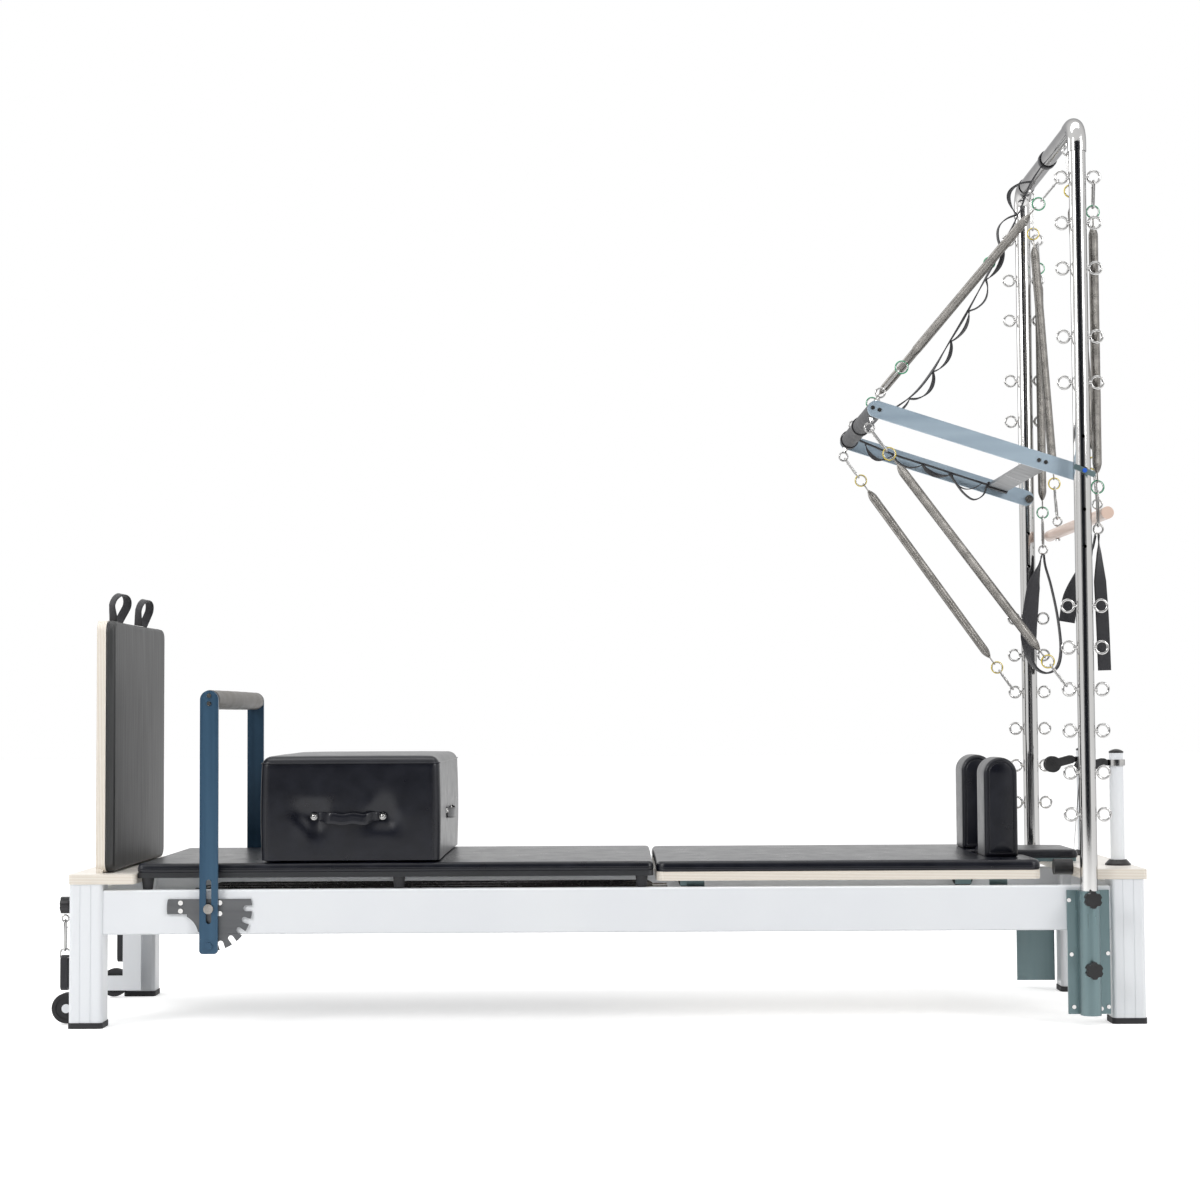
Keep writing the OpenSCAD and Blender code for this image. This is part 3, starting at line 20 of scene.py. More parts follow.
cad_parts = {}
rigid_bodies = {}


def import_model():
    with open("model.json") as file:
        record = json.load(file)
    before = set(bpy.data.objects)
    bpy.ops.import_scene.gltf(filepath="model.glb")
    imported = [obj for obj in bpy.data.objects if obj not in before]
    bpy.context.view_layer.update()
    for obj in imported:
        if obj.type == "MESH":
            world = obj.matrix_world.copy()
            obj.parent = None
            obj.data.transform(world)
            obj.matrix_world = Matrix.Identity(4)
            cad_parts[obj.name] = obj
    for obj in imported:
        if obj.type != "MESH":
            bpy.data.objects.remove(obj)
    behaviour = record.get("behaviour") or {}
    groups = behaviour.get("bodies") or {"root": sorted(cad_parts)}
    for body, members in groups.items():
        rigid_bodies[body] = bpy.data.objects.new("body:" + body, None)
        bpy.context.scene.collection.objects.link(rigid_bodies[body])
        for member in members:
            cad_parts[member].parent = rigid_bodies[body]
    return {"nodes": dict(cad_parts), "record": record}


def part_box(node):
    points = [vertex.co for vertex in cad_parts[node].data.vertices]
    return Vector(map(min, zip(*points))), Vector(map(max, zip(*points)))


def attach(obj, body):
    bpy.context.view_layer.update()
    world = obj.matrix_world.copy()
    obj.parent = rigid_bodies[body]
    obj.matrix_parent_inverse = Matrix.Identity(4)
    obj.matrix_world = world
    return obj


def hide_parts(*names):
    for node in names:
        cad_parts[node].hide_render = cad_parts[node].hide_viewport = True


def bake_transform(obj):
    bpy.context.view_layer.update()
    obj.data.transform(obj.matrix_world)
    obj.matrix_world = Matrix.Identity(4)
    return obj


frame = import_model()

LOG = logging.getLogger("tower_scene")
MM = 0.001
IMAGE_SIDE = 1200
TINY = 1e-9
POINT_R = 1e-5
HUB_R = 0.01
STEEP = 0.9

Array = np.ndarray
Socket = bpy.types.NodeSocket

X_AXIS, Y_AXIS, Z_AXIS = np.eye(3)


# Places and sizes that the CAD source also holds, in millimetres


@dataclass(frozen=True)
class Layout:
    """Sizes of the real object that the dressed pieces share with the CAD source."""

    upright_x: float = 1096.5
    upright_y: float = 337.0
    cross_z: float = 2021.0
    eye_reach: float = 37.0
    eye_in: float = 10.8
    upper_level: float = 1897.0
    lower_level: float = 743.0
    ptb_z: float = 1230.0
    ptb_r: float = 480.0
    ptb_angle: float = 18.0
    ptb_eye_y: float = 286.0
    ptb_eye_h: float = 42.0
    ptb_pad_r: float = 20.0
    brace_d: float = 88.0
    spring_r: float = 11.0
    clip_l: float = 64.0
    clip_w: float = 20.0
    clip_wire: float = 2.0
    link_gap: float = 0.4
    ring_r: float = 13.5
    ring_wire: float = 2.2
    bar_ring_r: float = 10.5
    bar_ring_wire: float = 2.3
    long_clip_l: float = 84.0
    leg_in: float = 14.9
    dee_z: float = 1102.0
    roll_y: float = 230.0
    roll_eye_z: float = 1985.0
    dowel_x: float = 1152.5
    dowel_z: float = 1138.0
    dowel_r: float = 14.0
    handle_x: float = -554.0
    handle_z: float = 467.5
    handle_bolt: float = 77.3
    hook_y: float = 287.0
    strap_w: float = 20.0
    strap_t: float = 2.5

    @property
    def spring_gap(self) -> float:
        """Distance from a coloured ring's centre to the end of its spring."""
        return self.ring_r + self.ring_wire + self.link_gap

    @property
    def bar_eye_in(self) -> float:
        """Inner radius of the eyes on the bars."""
        return self.bar_ring_r - self.bar_ring_wire

    def clip_from(self, eye_in: float) -> float:
        """Distance from an eye's centre to the start of its clip."""
        return eye_in - 2 * self.clip_wire - self.link_gap

    def ring_from(self, eye_in: float, clip_l: float) -> float:
        """Distance from an eye's centre to the centre of the coloured ring."""
        ring_in = self.ring_r - self.ring_wire
        return self.clip_from(eye_in) + clip_l - 2 * self.clip_wire - self.link_gap + ring_in

    def ptb_at(self, d: float, h: float, y: float) -> Array:
        """A point of the push-through frame: d along the arm and h square to it."""
        a = math.radians(self.ptb_angle)
        return np.array([
            self.upright_x - d * math.cos(a) + h * math.sin(a),
            y,
            self.ptb_z + d * math.sin(a) + h * math.cos(a),
        ])


LAYOUT = Layout()


class Side(Enum):
    """The two sides of the frame, with the sign of Y."""

    NEAR = -1
    FAR = 1


# Mesh building


@dataclass
class MeshData:
    """Vertices, faces and an optional coordinate pair for each corner of the faces.

    Attributes:
        verts: Vertex places, one row each, in metres.
        faces: Faces as tuples of vertex indices.
        uvs: Pairs for each vertex, used for weaves, or None.
        marks: Material index of each face, or None for all zero.
    """

    verts: Array
    faces: list
    uvs: Optional[Array] = None
    marks: Optional[Array] = None

    @staticmethod
    def joined(parts: Sequence["MeshData"]) -> "MeshData":
        """Several meshes as one.

        Args:
            parts: The meshes, which keep their order.

        Returns:
            One mesh that holds them all.
        """
        verts, faces, uvs, marks, base = [], [], [], [], 0
        for part in parts:
            verts.append(part.verts)
            faces.extend(tuple(int(i) + base for i in f) for f in part.faces)
            uvs.append(part.uvs if part.uvs is not None else np.zeros((len(part.verts), 2)))
            marks.append(part.marks if part.marks is not None
                         else np.zeros(len(part.faces), int))
            base += len(part.verts)
        return MeshData(np.vstack(verts), faces, np.vstack(uvs), np.concatenate(marks))

    def marked(self, index: int) -> "MeshData":
        """The same mesh with every face in one material."""
        return MeshData(self.verts, self.faces, self.uvs, np.full(len(self.faces), index))


def make_object(name: str, data: MeshData, materials: Sequence[bpy.types.Material],
                sharp_deg: float = 50.0) -> bpy.types.Object:
    """Make a Blender object at the origin.

    Args:
        name: Name of the piece.
        data: Its mesh in metres.
        materials: Its materials, in the order of the marks.
        sharp_deg: Edges steeper than this stay sharp.

    Returns:
        The new object, linked to the scene.
    """
    mesh = bpy.data.meshes.new(name)
    mesh.from_pydata(data.verts.tolist(), [], data.faces)
    mesh.polygons.foreach_set("use_smooth", np.ones(len(data.faces), bool))
    if data.marks is not None:
        mesh.polygons.foreach_set("material_index", data.marks.astype(np.int32))
    if data.uvs is not None:
        layer = mesh.uv_layers.new(name="weave")
        corner = np.zeros(len(mesh.loops), np.int32)
        mesh.loops.foreach_get("vertex_index", corner)
        layer.data.foreach_set("uv", data.uvs[corner].astype(np.float32).ravel())
    mesh.update()
    mesh.set_sharp_from_angle(angle=math.radians(sharp_deg))
    for material in materials:
        mesh.materials.append(material)
    obj = bpy.data.objects.new(name, mesh)
    bpy.context.scene.collection.objects.link(obj)
    return obj


def unit(v: Array) -> Array:
    """A vector of length one along v."""
    return np.asarray(v, float) / np.linalg.norm(v)


def unit_rows(rows: Array) -> Array:
    """Each row scaled to length one."""
    return rows / np.maximum(np.linalg.norm(rows, axis=1, keepdims=True), TINY)


def run_length(path: Array) -> Array:
    """Distance along a path from its first point to each of its points."""
    return np.concatenate([[0], np.cumsum(np.linalg.norm(np.diff(path, axis=0), axis=1))])


def sampled(s: Array, run: Array, table: Array) -> Array:
    """The rows of a table of places or directions, read off at distances along a run."""
    return np.stack([np.interp(s, run, table[:, k]) for k in range(3)], 1)


def grid_faces(rows: int, cols: int, wrap_rows: bool = False,
               wrap_cols: bool = True) -> list[tuple]:
    """Four-sided faces of a grid whose vertices are counted row by row.

    Args:
        rows: Number of rows of vertices.
        cols: Number of vertices in a row.
        wrap_rows: Whether the last row joins the first.
        wrap_cols: Whether the last vertex of a row joins the first.

    Returns:
        The faces as tuples of vertex indices.
    """
    i = np.arange(rows if wrap_rows else rows - 1)[:, None]
    k = np.arange(cols if wrap_cols else cols - 1)[None, :]
    j, q = (i + 1) % rows, (k + 1) % cols
    faces = np.stack([i * cols + k, i * cols + q, j * cols + q, j * cols + k], 2)
    return [tuple(f) for f in faces.reshape(-1, 4).tolist()]


def circle_profile(radius: float, sides: int) -> Array:
    """Points of a circle, as pairs."""
    a = np.linspace(0, 2 * math.pi, sides, endpoint=False)
    return radius * np.stack([np.cos(a), np.sin(a)], 1)


def flat_profile(width: float, thick: float) -> Array:
    """A flat strap's cross-section with its edges eased.

    Args:
        width: Full width.
        thick: Full thickness.

    Returns:
        Pairs (across, through), counter-clockwise.
    """
    w, t = width / 2, thick / 2
    e = min(t, w) * 0.6
    top = [(-w + e, t), (-w / 3, t), (w / 3, t), (w - e, t)]
    right = [(w, t - e), (w, e - t)]
    low = [(w - e, -t), (w / 3, -t), (-w / 3, -t), (e - w, -t)]
    left = [(-w, e - t), (-w, t - e)]
    return np.array(list(reversed(top + right + low + left)))


def smooth_path(points: Array, per_span: int, closed: bool = False) -> Array:
    """A curve through the points: each span is a cubic whose slopes come from the neighbours.

    Args:
        points: The points that the curve passes, one row each.
        per_span: How many steps each span is cut into.
        closed: Whether the curve returns to its start.

    Returns:
        The curve's points, one row each.
    """
    p = np.asarray(points, float)
    n = len(p)
    if closed:
        before, after, after2 = np.roll(p, 1, 0), np.roll(p, -1, 0), np.roll(p, -2, 0)
        spans = range(n)
    else:
        before = np.vstack([2 * p[0] - p[1], p[:-1]])
        after = np.vstack([p[1:], 2 * p[-1] - p[-2]])
        after2 = np.vstack([p[2:], 2 * p[-1] - p[-2], 3 * p[-1] - 2 * p[-2]])
        spans = range(n - 1)
    t = np.linspace(0, 1, per_span, endpoint=False)[:, None]
    rows = []
    for i in spans:
        a, b, c, d = before[i], p[i], after[i], after2[i]
        rows.append(0.5 * (2 * b + (c - a) * t + (2 * a - 5 * b + 4 * c - d) * t ** 2
                           + (3 * b - a - 3 * c + d) * t ** 3))
    if not closed:
        rows.append(p[-1:])
    return np.vstack(rows)


def tangents(path: Array, closed: bool) -> Array:
    """Unit directions along a path: the difference of each point's two neighbours.

    Args:
        path: Points of the path, one row each.
        closed: Whether the path returns to its start.

    Returns:
        One direction for each point.
    """
    if closed:
        d = np.roll(path, -1, 0) - np.roll(path, 1, 0)
    else:
        d = np.gradient(path, axis=0)
    return unit_rows(d)


def square_to(across: Array, t: Array) -> Array:
    """Unit directions nearest to the given ones and square to the directions t."""
    return unit_rows(across - t * np.sum(across * t, 1, keepdims=True))


def rim_axes(axis: Array, seed: Array, other: Array) -> tuple[Array, Array]:
    """Two unit directions square to an axis and to each other.

    Args:
        axis: Unit direction.
        seed: Direction that the first cross product is taken with.
        other: Direction that takes its place where the axis runs along the seed.

    Returns:
        The two directions.
    """
    near = abs(axis @ seed) < STEEP
    u = unit(np.cross(axis, seed if near else other))
    return u, np.cross(axis, u)


def carried_frame(path: Array, closed: bool) -> tuple[Array, Array]:
    """Two unit directions square to the path that turn with it and don't twist.

    Args:
        path: Points of the path, one row each.
        closed: Whether the path returns to its start.

    Returns:
        The two directions at each point.
    """
    t = tangents(path, closed)
    last = Y_AXIS if abs(t[0][1]) < STEEP else X_AXIS
    u = np.zeros_like(path)
    for i, ahead in enumerate(t):
        u[i] = last = unit(last - ahead * (last @ ahead))
    return u, np.cross(t, u)


def sweep(path: Array, profile: Array, across: Optional[Array] = None, closed: bool = False,
          scale: Optional[Array] = None) -> MeshData:
    """A skin whose cross-section is the profile, carried along the path.

    Args:
        path: Points of the path in metres.
        profile: Pairs (across, through), counter-clockwise, in metres.
        across: The profile's first direction at each point, or None for a carried frame.
        closed: Whether the path returns to its start.
        scale: Two factors for the profile at each point, or None.

    Returns:
        The skin, with its ends closed where the path is open.
    """
    t = tangents(path, closed)
    if across is None:
        u, v = carried_frame(path, closed)
    else:
        u = square_to(across, t)
        v = np.cross(t, u)
    n, m = len(path), len(profile)
    s = np.ones((n, 2)) if scale is None else np.asarray(scale)
    verts = (path[:, None, :]
             + (s[:, :1] * profile[None, :, 0])[:, :, None] * u[:, None, :]
             + (s[:, 1:] * profile[None, :, 1])[:, :, None] * v[:, None, :]).reshape(-1, 3)
    uvs = np.stack([(s[:, :1] * profile[None, :, 0]).ravel(),
                    np.repeat(run_length(path), m)], 1)
    faces = grid_faces(n, m, closed)
    if not closed:
        faces.append(tuple(reversed(range(m))))
        faces.append(tuple(range((n - 1) * m, n * m)))
    return MeshData(verts, faces, uvs)


def lathe(profile: Sequence[tuple[float, float]], centre: Array, axis: Array,
          sides: int) -> MeshData:
    """A turned form.

    Args:
        profile: Pairs (radius, height along the axis) from one end to the other, in metres.
        centre: Where the axis starts.
        axis: Unit direction of the axis.
        sides: How many sides the turned form has.

    Returns:
        The form. An end whose radius isn't zero is closed by a flat face.
    """
    axis = unit(axis)
    u, v = rim_axes(axis, X_AXIS, Y_AXIS)
    a = np.linspace(0, 2 * math.pi, sides, endpoint=False)
    rim = np.cos(a)[:, None] * u + np.sin(a)[:, None] * v
    rows = [np.asarray(centre) + h * axis + max(r, POINT_R) * rim for r, h in profile]
    n = len(profile)
    faces = grid_faces(n, sides)
    faces.append(tuple(reversed(range(sides))))
    faces.append(tuple(range((n - 1) * sides, n * sides)))
    return MeshData(np.vstack(rows), faces)


def turned_at(profile: Sequence[tuple[float, float]], at: Array, axis: Array,
              sides: int) -> MeshData:
    """A turned form whose profile and place are given in millimetres."""
    data = lathe(profile, np.zeros(3), axis, sides)
    return MeshData((data.verts + at) * MM, data.faces)


def torus(centre: Array, axis: Array, radius: float, wire: float, sides: int = 40,
          wire_sides: int = 12) -> MeshData:
    """A ring of round wire: a circle about the axis, with a small circle carried along it.

    Args:
        centre: Middle of the ring.
        axis: Direction of its axis.
        radius: Radius of the wire's middle line.
        wire: Radius of the wire.
        sides: Steps round the ring.
        wire_sides: Sides of the wire.

    Returns:
        The ring.
    """
    u, v = rim_axes(unit(axis), Z_AXIS, X_AXIS)
    a = np.linspace(0, 2 * math.pi, sides, endpoint=False)[:, None]
    path = np.asarray(centre) + radius * (np.cos(a) * u + np.sin(a) * v)
    return sweep(path, circle_profile(wire, wire_sides), closed=True)


# Materials


BARE_METAL = 0.9
METAL_EDGE = (0.45, 0.45, 0.46, 1.0)


@dataclass(frozen=True)
class Finish:
    """What a surface is like.

    Attributes:
        colour: Linear base colour.
        second: Colour that it varies towards.
        vary_scale: Scale of that variation, per metre.
        rough: Mean roughness.
        rough_vary: How far the roughness varies.
        metal: Metallic share.
        grain_scale: Scale of the fine relief, per metre.
        grain_height: Strength of the fine relief.
        stretch: How the grain is stretched along X, Y and Z.
        coat: Weight of a clear coat.
    """

    colour: tuple[float, float, float]
    second: tuple[float, float, float]
    vary_scale: float = 8.0
    rough: float = 0.5
    rough_vary: float = 0.08
    metal: float = 0.0
    grain_scale: float = 900.0
    grain_height: float = 0.05
    stretch: tuple[float, float, float] = (1.0, 1.0, 1.0)
    coat: float = 0.0


class Look(Enum):
    """The plain finishes of the object, each with its numbers."""

    WHITE_PAINT = Finish((0.82, 0.84, 0.86), (0.79, 0.81, 0.84), 3.0, 0.34, 0.05,
                         grain_scale=1400.0, grain_height=0.02, coat=0.1)
    FOOT_RUBBER = Finish((0.010, 0.010, 0.012), (0.022, 0.022, 0.024), 30.0, 0.7, 0.1,
                         grain_scale=700.0, grain_height=0.15)
    DARK_PLATE = Finish((0.115, 0.119, 0.125), (0.150, 0.154, 0.160), 40.0, 0.34, 0.08,
                        metal=0.6, stretch=(0.08, 1.0, 1.0))
    STEEL = Finish((0.60, 0.595, 0.585), (0.54, 0.535, 0.53), 25.0, 0.10, 0.04, metal=1.0,
                   grain_scale=300.0, grain_height=0.008, stretch=(1.0, 1.0, 0.05))
    CHROME = Finish((0.52, 0.515, 0.505), (0.44, 0.435, 0.43), 60.0, 0.12, 0.05, metal=1.0,
                    grain_scale=500.0, grain_height=0.01)
    GREY_METAL = Finish((0.150, 0.220, 0.232), (0.190, 0.265, 0.278), 22.0, 0.34, 0.08,
                        metal=0.55, grain_height=0.03,
                        stretch=(1.0, 1.0, 0.1))
    BLACK_PLASTIC = Finish((0.008, 0.008, 0.009), (0.015, 0.015, 0.016), 40.0, 0.4, 0.1,
                           grain_scale=1600.0, grain_height=0.10)
    WRAPPED_PLY = Finish((0.009, 0.010, 0.012), (0.016, 0.017, 0.020), 24.0, 0.42, 0.06,
                         grain_scale=1200.0, grain_height=0.12, stretch=(0.2, 0.2, 1.0))
    WHITE_PLASTIC = Finish((0.72, 0.72, 0.71), (0.66, 0.66, 0.65), 20.0, 0.3, 0.06,
                           grain_height=0.03)
    SPRING_STEEL = Finish((0.36, 0.345, 0.325), (0.25, 0.24, 0.225), 45.0, 0.24, 0.06,
                          metal=1.0, grain_height=0.03)
    BLUE_STEEL = Finish((0.029, 0.076, 0.135), (0.040, 0.098, 0.165), 55.0, 0.36, 0.06,
                        metal=0.35, grain_scale=700.0, grain_height=0.05,
                        stretch=(1.0, 1.0, 0.03))
    PALE_STEEL = Finish((0.41, 0.52, 0.62), (0.46, 0.57, 0.66), 30.0, 0.33, 0.06, metal=0.4,
                        grain_scale=700.0, grain_height=0.04, stretch=(0.05, 1.0, 1.0))
    GRIP = Finish((0.040, 0.041, 0.045), (0.056, 0.057, 0.062), 30.0, 0.6, 0.08,
                  grain_scale=1500.0, grain_height=0.2)
    MAPLE = Finish((0.72, 0.55, 0.46), (0.64, 0.46, 0.38), 20.0, 0.34, 0.06,
                   grain_scale=500.0, grain_height=0.03, stretch=(1.0, 0.06, 1.0), coat=0.2)
    YELLOW = Finish((0.72, 0.56, 0.035), (0.62, 0.47, 0.03), 60.0, 0.36, 0.06,
                    grain_height=0.04)
    GREEN = Finish((0.012, 0.34, 0.15), (0.012, 0.27, 0.12), 60.0, 0.36, 0.06,
                   grain_height=0.04)
    BLUE_DOT = Finish((0.02, 0.12, 0.62), (0.02, 0.10, 0.52), 60.0, 0.35, 0.05,
                      grain_height=0.03)
    WARM_GRIP = Finish((0.088, 0.080, 0.070), (0.120, 0.110, 0.097), 26.0, 0.48, 0.08,
                       grain_scale=1500.0, grain_height=0.18)
    THREAD = Finish((0.022, 0.023, 0.027), (0.04, 0.04, 0.045), 90.0, 0.55, 0.06,
                    grain_scale=3000.0, grain_height=0.2)


class NodeGraph:
    """A small helper that adds and joins the shader nodes of one material or world.

    Args:
        owner: The material or world.
    """

    def __init__(self, owner: bpy.types.ID) -> None:
        owner.use_nodes = True
        self.tree = owner.node_tree
        self.shader = (self.tree.nodes.get("Principled BSDF")
                       or self.tree.nodes["Background"])

    def add(self, kind: str, **inputs) -> bpy.types.Node:
        """Add a node.

        Args:
            kind: Blender's name of the node type.
            **inputs: Values or output sockets by input name, with _ for each space.

        Returns:
            The node.
        """
        node = self.tree.nodes.new(kind)
        for key, value in inputs.items():
            self.put(node.inputs[key.replace("_", " ")], value)
        return node

    def surface(self, base: Socket, rough: Socket, normal: Socket, **inputs) -> None:
        """Set the shader's inputs.

        Args:
            base: Colour of the surface.
            rough: Its roughness.
            normal: Its relief.
            **inputs: Other inputs by name, with _ for each space.
        """
        inputs.update(Base_Color=base, Roughness=rough, Normal=normal)
        for key, value in inputs.items():
            self.put(self.shader.inputs[key.replace("_", " ")], value)

    def put(self, socket: Socket, value: object) -> None:
        """Set or link one input."""
        if isinstance(value, Socket):
            self.tree.links.new(value, socket)
        else:
            socket.default_value = value

    def coords(self, stretch: Sequence[float] = (1, 1, 1),
               uv: Optional[str] = None) -> Socket:
        """Coordinates with each axis scaled.

        Args:
            stretch: Factor for each axis.
            uv: Name of a map, or None for the piece's own coordinates.

        Returns:
            The scaled coordinates.
        """
        if uv:
            source = self.add("ShaderNodeUVMap")
            source.uv_map = uv
            out = source.outputs["UV"]
        else:
            out = self.add("ShaderNodeTexCoord").outputs["Object"]
        return self.add("ShaderNodeMapping", Vector=out,
                        Scale=tuple(stretch)).outputs["Vector"]

    def noise(self, vector: Socket, scale: float, detail: float = 3.0) -> Socket:
        """Cloudy noise from 0 to 1."""
        node = self.add("ShaderNodeTexNoise", Vector=vector, Scale=scale, Detail=detail)
        return node.outputs["Fac"]

    def math(self, operation: str, a: object, b: object = 0.0,
             c: object = 0.0) -> Socket:
        """One arithmetic step.

        Args:
            operation: Blender's name of the operation.
            a: First number or socket.
            b: Second number or socket.
            c: Third number or socket.

        Returns:
            The result.
        """
        node = self.tree.nodes.new("ShaderNodeMath")
        node.operation = operation
        for socket, value in zip(node.inputs, (a, b, c)):
            self.put(socket, value)
        return node.outputs[0]

    def ramp(self, value: Socket, low: float, high: float, out_low: float = 0.0,
             out_high: float = 1.0) -> Socket:
        """A value stretched between two levels and clamped."""
        return self.add("ShaderNodeMapRange", Value=value, From_Min=low, From_Max=high,
                        To_Min=out_low, To_Max=out_high).outputs["Result"]

    def mix(self, factor: Socket, a: object, b: object) -> Socket:
        """Two colours mixed.

        Args:
            factor: Share of the second colour.
            a: First colour or socket.
            b: Second colour or socket.

        Returns:
            The mixed colour.
        """
        node = self.tree.nodes.new("ShaderNodeMix")
        node.data_type = "RGBA"
        self.put(node.inputs[0], factor)
        for socket, value in ((node.inputs[6], a), (node.inputs[7], b)):
            self.put(socket, (*value, 1.0) if isinstance(value, tuple) else value)
        return node.outputs[2]

    def bump(self, height: Socket, strength: float, distance: float = 0.001,
             normal: Optional[Socket] = None) -> Socket:
        """Relief from a height.

        Args:
            height: The height.
            strength: How strong the relief is.
            distance: Height of a full step, in metres.
            normal: Broader relief that this one lies on.

        Returns:
            The normal.
        """
        node = self.add("ShaderNodeBump", Height=height, Strength=strength,
                        Distance=distance)
        if normal is not None:
            self.put(node.inputs["Normal"], normal)
        return node.outputs["Normal"]

    def seen(self, hidden: float, shown: float) -> Socket:
        """A level by the kind of ray.

        Args:
            hidden: Level for the rays by which a thing lights others.
            shown: Level for camera, glossy and transmission rays.

        Returns:
            The level.
        """
        path = self.add("ShaderNodeLightPath")
        ray = self.math("MAXIMUM", path.outputs["Is Camera Ray"],
                        path.outputs["Is Glossy Ray"])
        ray = self.math("MAXIMUM", ray, path.outputs["Is Transmission Ray"])
        return self.ramp(ray, 0.0, 1.0, hidden, shown)


class Library:
    """Makes each material once and hands it out by name."""

    def __init__(self) -> None:
        self._made: dict[str, bpy.types.Material] = {}

    def get(self, look: Look) -> bpy.types.Material:
        """The material of a plain finish."""
        return self.make(look.name.lower(), lambda g: self._plain(g, look.value))

    def make(self, name: str, build: Callable[[NodeGraph], None]) -> bpy.types.Material:
        """The material of this name, which is built the first time.

        Args:
            name: Name of the material.
            build: Adds its nodes.

        Returns:
            The material.
        """
        if name not in self._made:
            self._made[name] = bpy.data.materials.new(name)
            build(NodeGraph(self._made[name]))
        return self._made[name]

    @staticmethod
    def _plain(g: NodeGraph, f: Finish) -> None:
        """Broad cloudy colour, roughness that varies and a fine stretched relief."""
        cloud = g.noise(g.coords(f.stretch), f.vary_scale)
        base = g.mix(g.ramp(cloud, 0.35, 0.65), f.colour, f.second)
        rough = g.ramp(cloud, 0.3, 0.7, f.rough - f.rough_vary, f.rough + f.rough_vary)
        fine = g.noise(g.coords(f.stretch), f.grain_scale, 2.0)
        edge = {"Specular_Tint": METAL_EDGE} if f.metal > BARE_METAL else {}
        g.surface(base, rough, g.bump(fine, f.grain_height, 0.0006), Metallic=f.metal,
                  Coat_Weight=f.coat, **edge)

    def leather(self) -> bpy.types.Material:
        """Smooth upholstery: pebbled grain, soft long wrinkles and a faint sheen."""

        def build(g: NodeGraph) -> None:
            at = g.coords()
            cells = g.add("ShaderNodeTexVoronoi", Vector=at, Scale=620.0)
            cells.feature = "DISTANCE_TO_EDGE"
            pebble = g.ramp(cells.outputs["Distance"], 0.0, 0.25)
            folds = g.noise(g.coords((1.0, 1.0, 2.2)), 9.0, 2.0)
            relief = g.bump(folds, 0.10, 0.006, g.bump(pebble, 0.10, 0.0003))
            worn = g.noise(at, 26.0, 4.0)
            g.surface(g.mix(g.ramp(worn, 0.4, 0.7), (0.0040, 0.0046, 0.0085),
                            (0.0070, 0.0080, 0.0135)),
                      g.ramp(worn, 0.3, 0.7, 0.27, 0.34), relief, Specular_IOR_Level=0.38)

        return self.make("leather", build)

    def leather_grained(self) -> bpy.types.Material:
        """Upholstery with fine upright ribs, as on the jump board. The ribs are painted into
        its colour as well: painted shade in their troughs and painted light on their crests,
        over streaks that vary at random.
        """

        def build(g: NodeGraph) -> None:
            split = g.add("ShaderNodeSeparateXYZ", Vector=g.coords())
            ribs = g.math("SINE", g.math("MULTIPLY", split.outputs["Y"], 2 * math.pi / 0.011))
            streak = g.noise(g.coords((40.0, 160.0, 5.0)), 1.0, 3.0)
            # The colour mixes painted shade in the rib troughs and painted light on the crests
            # with random streaks.
            rib_shade_and_streak = g.math("MULTIPLY_ADD", ribs, 0.22, streak)
            g.surface(g.mix(g.ramp(rib_shade_and_streak, 0.2, 0.85), (0.015, 0.0153, 0.016),
                            (0.040, 0.041, 0.041)),
                      g.ramp(streak, 0.3, 0.7, 0.42, 0.56),
                      g.bump(g.math("MULTIPLY_ADD", streak, 0.5, ribs), 0.12, 0.0008),
                      Specular_IOR_Level=0.5)

        return self.make("leather_ribbed", build)

    def weave(self) -> bpy.types.Material:
        """Webbing: twill ribs across a strap from two crossed waves on its own map. The ribs
        set its colour too: painted shade in the weave's hollows and painted light on its
        raised threads.
        """

        def build(g: NodeGraph) -> None:
            at = g.coords(uv="weave")
            split = g.add("ShaderNodeSeparateXYZ", Vector=at)
            u, v = split.outputs["X"], split.outputs["Y"]
            warp = g.math("SINE", g.math("MULTIPLY", u, 4200.0))
            weft = g.math("SINE", g.math("ADD", g.math("MULTIPLY", v, 3400.0),
                                         g.math("MULTIPLY", u, 2100.0)))
            ribs = g.math("MULTIPLY_ADD", g.math("MULTIPLY", warp, weft), 0.5, 0.5)
            fuzz = g.noise(g.coords(), 1500.0, 2.0)
            # Colour from the ribs: painted shade in the hollows, painted light on the raised
            # threads.
            g.surface(g.mix(ribs, (0.008, 0.008, 0.010), (0.030, 0.030, 0.036)),
                      g.ramp(fuzz, 0.3, 0.7, 0.7, 0.9),
                      g.bump(g.math("MULTIPLY_ADD", fuzz, 0.3, ribs), 0.5, 0.0004),
                      Sheen_Weight=0.25)

        return self.make("webbing", build)

    def plywood(self, name: str, upright: bool = False) -> bpy.types.Material:
        """Birch plywood: long figure on the faces and thin plies along the edges.

        Args:
            name: Name of the material.
            upright: Whether the sheet stands, with its faces towards X.

        Returns:
            The material.
        """

        through = "X" if upright else "Z"

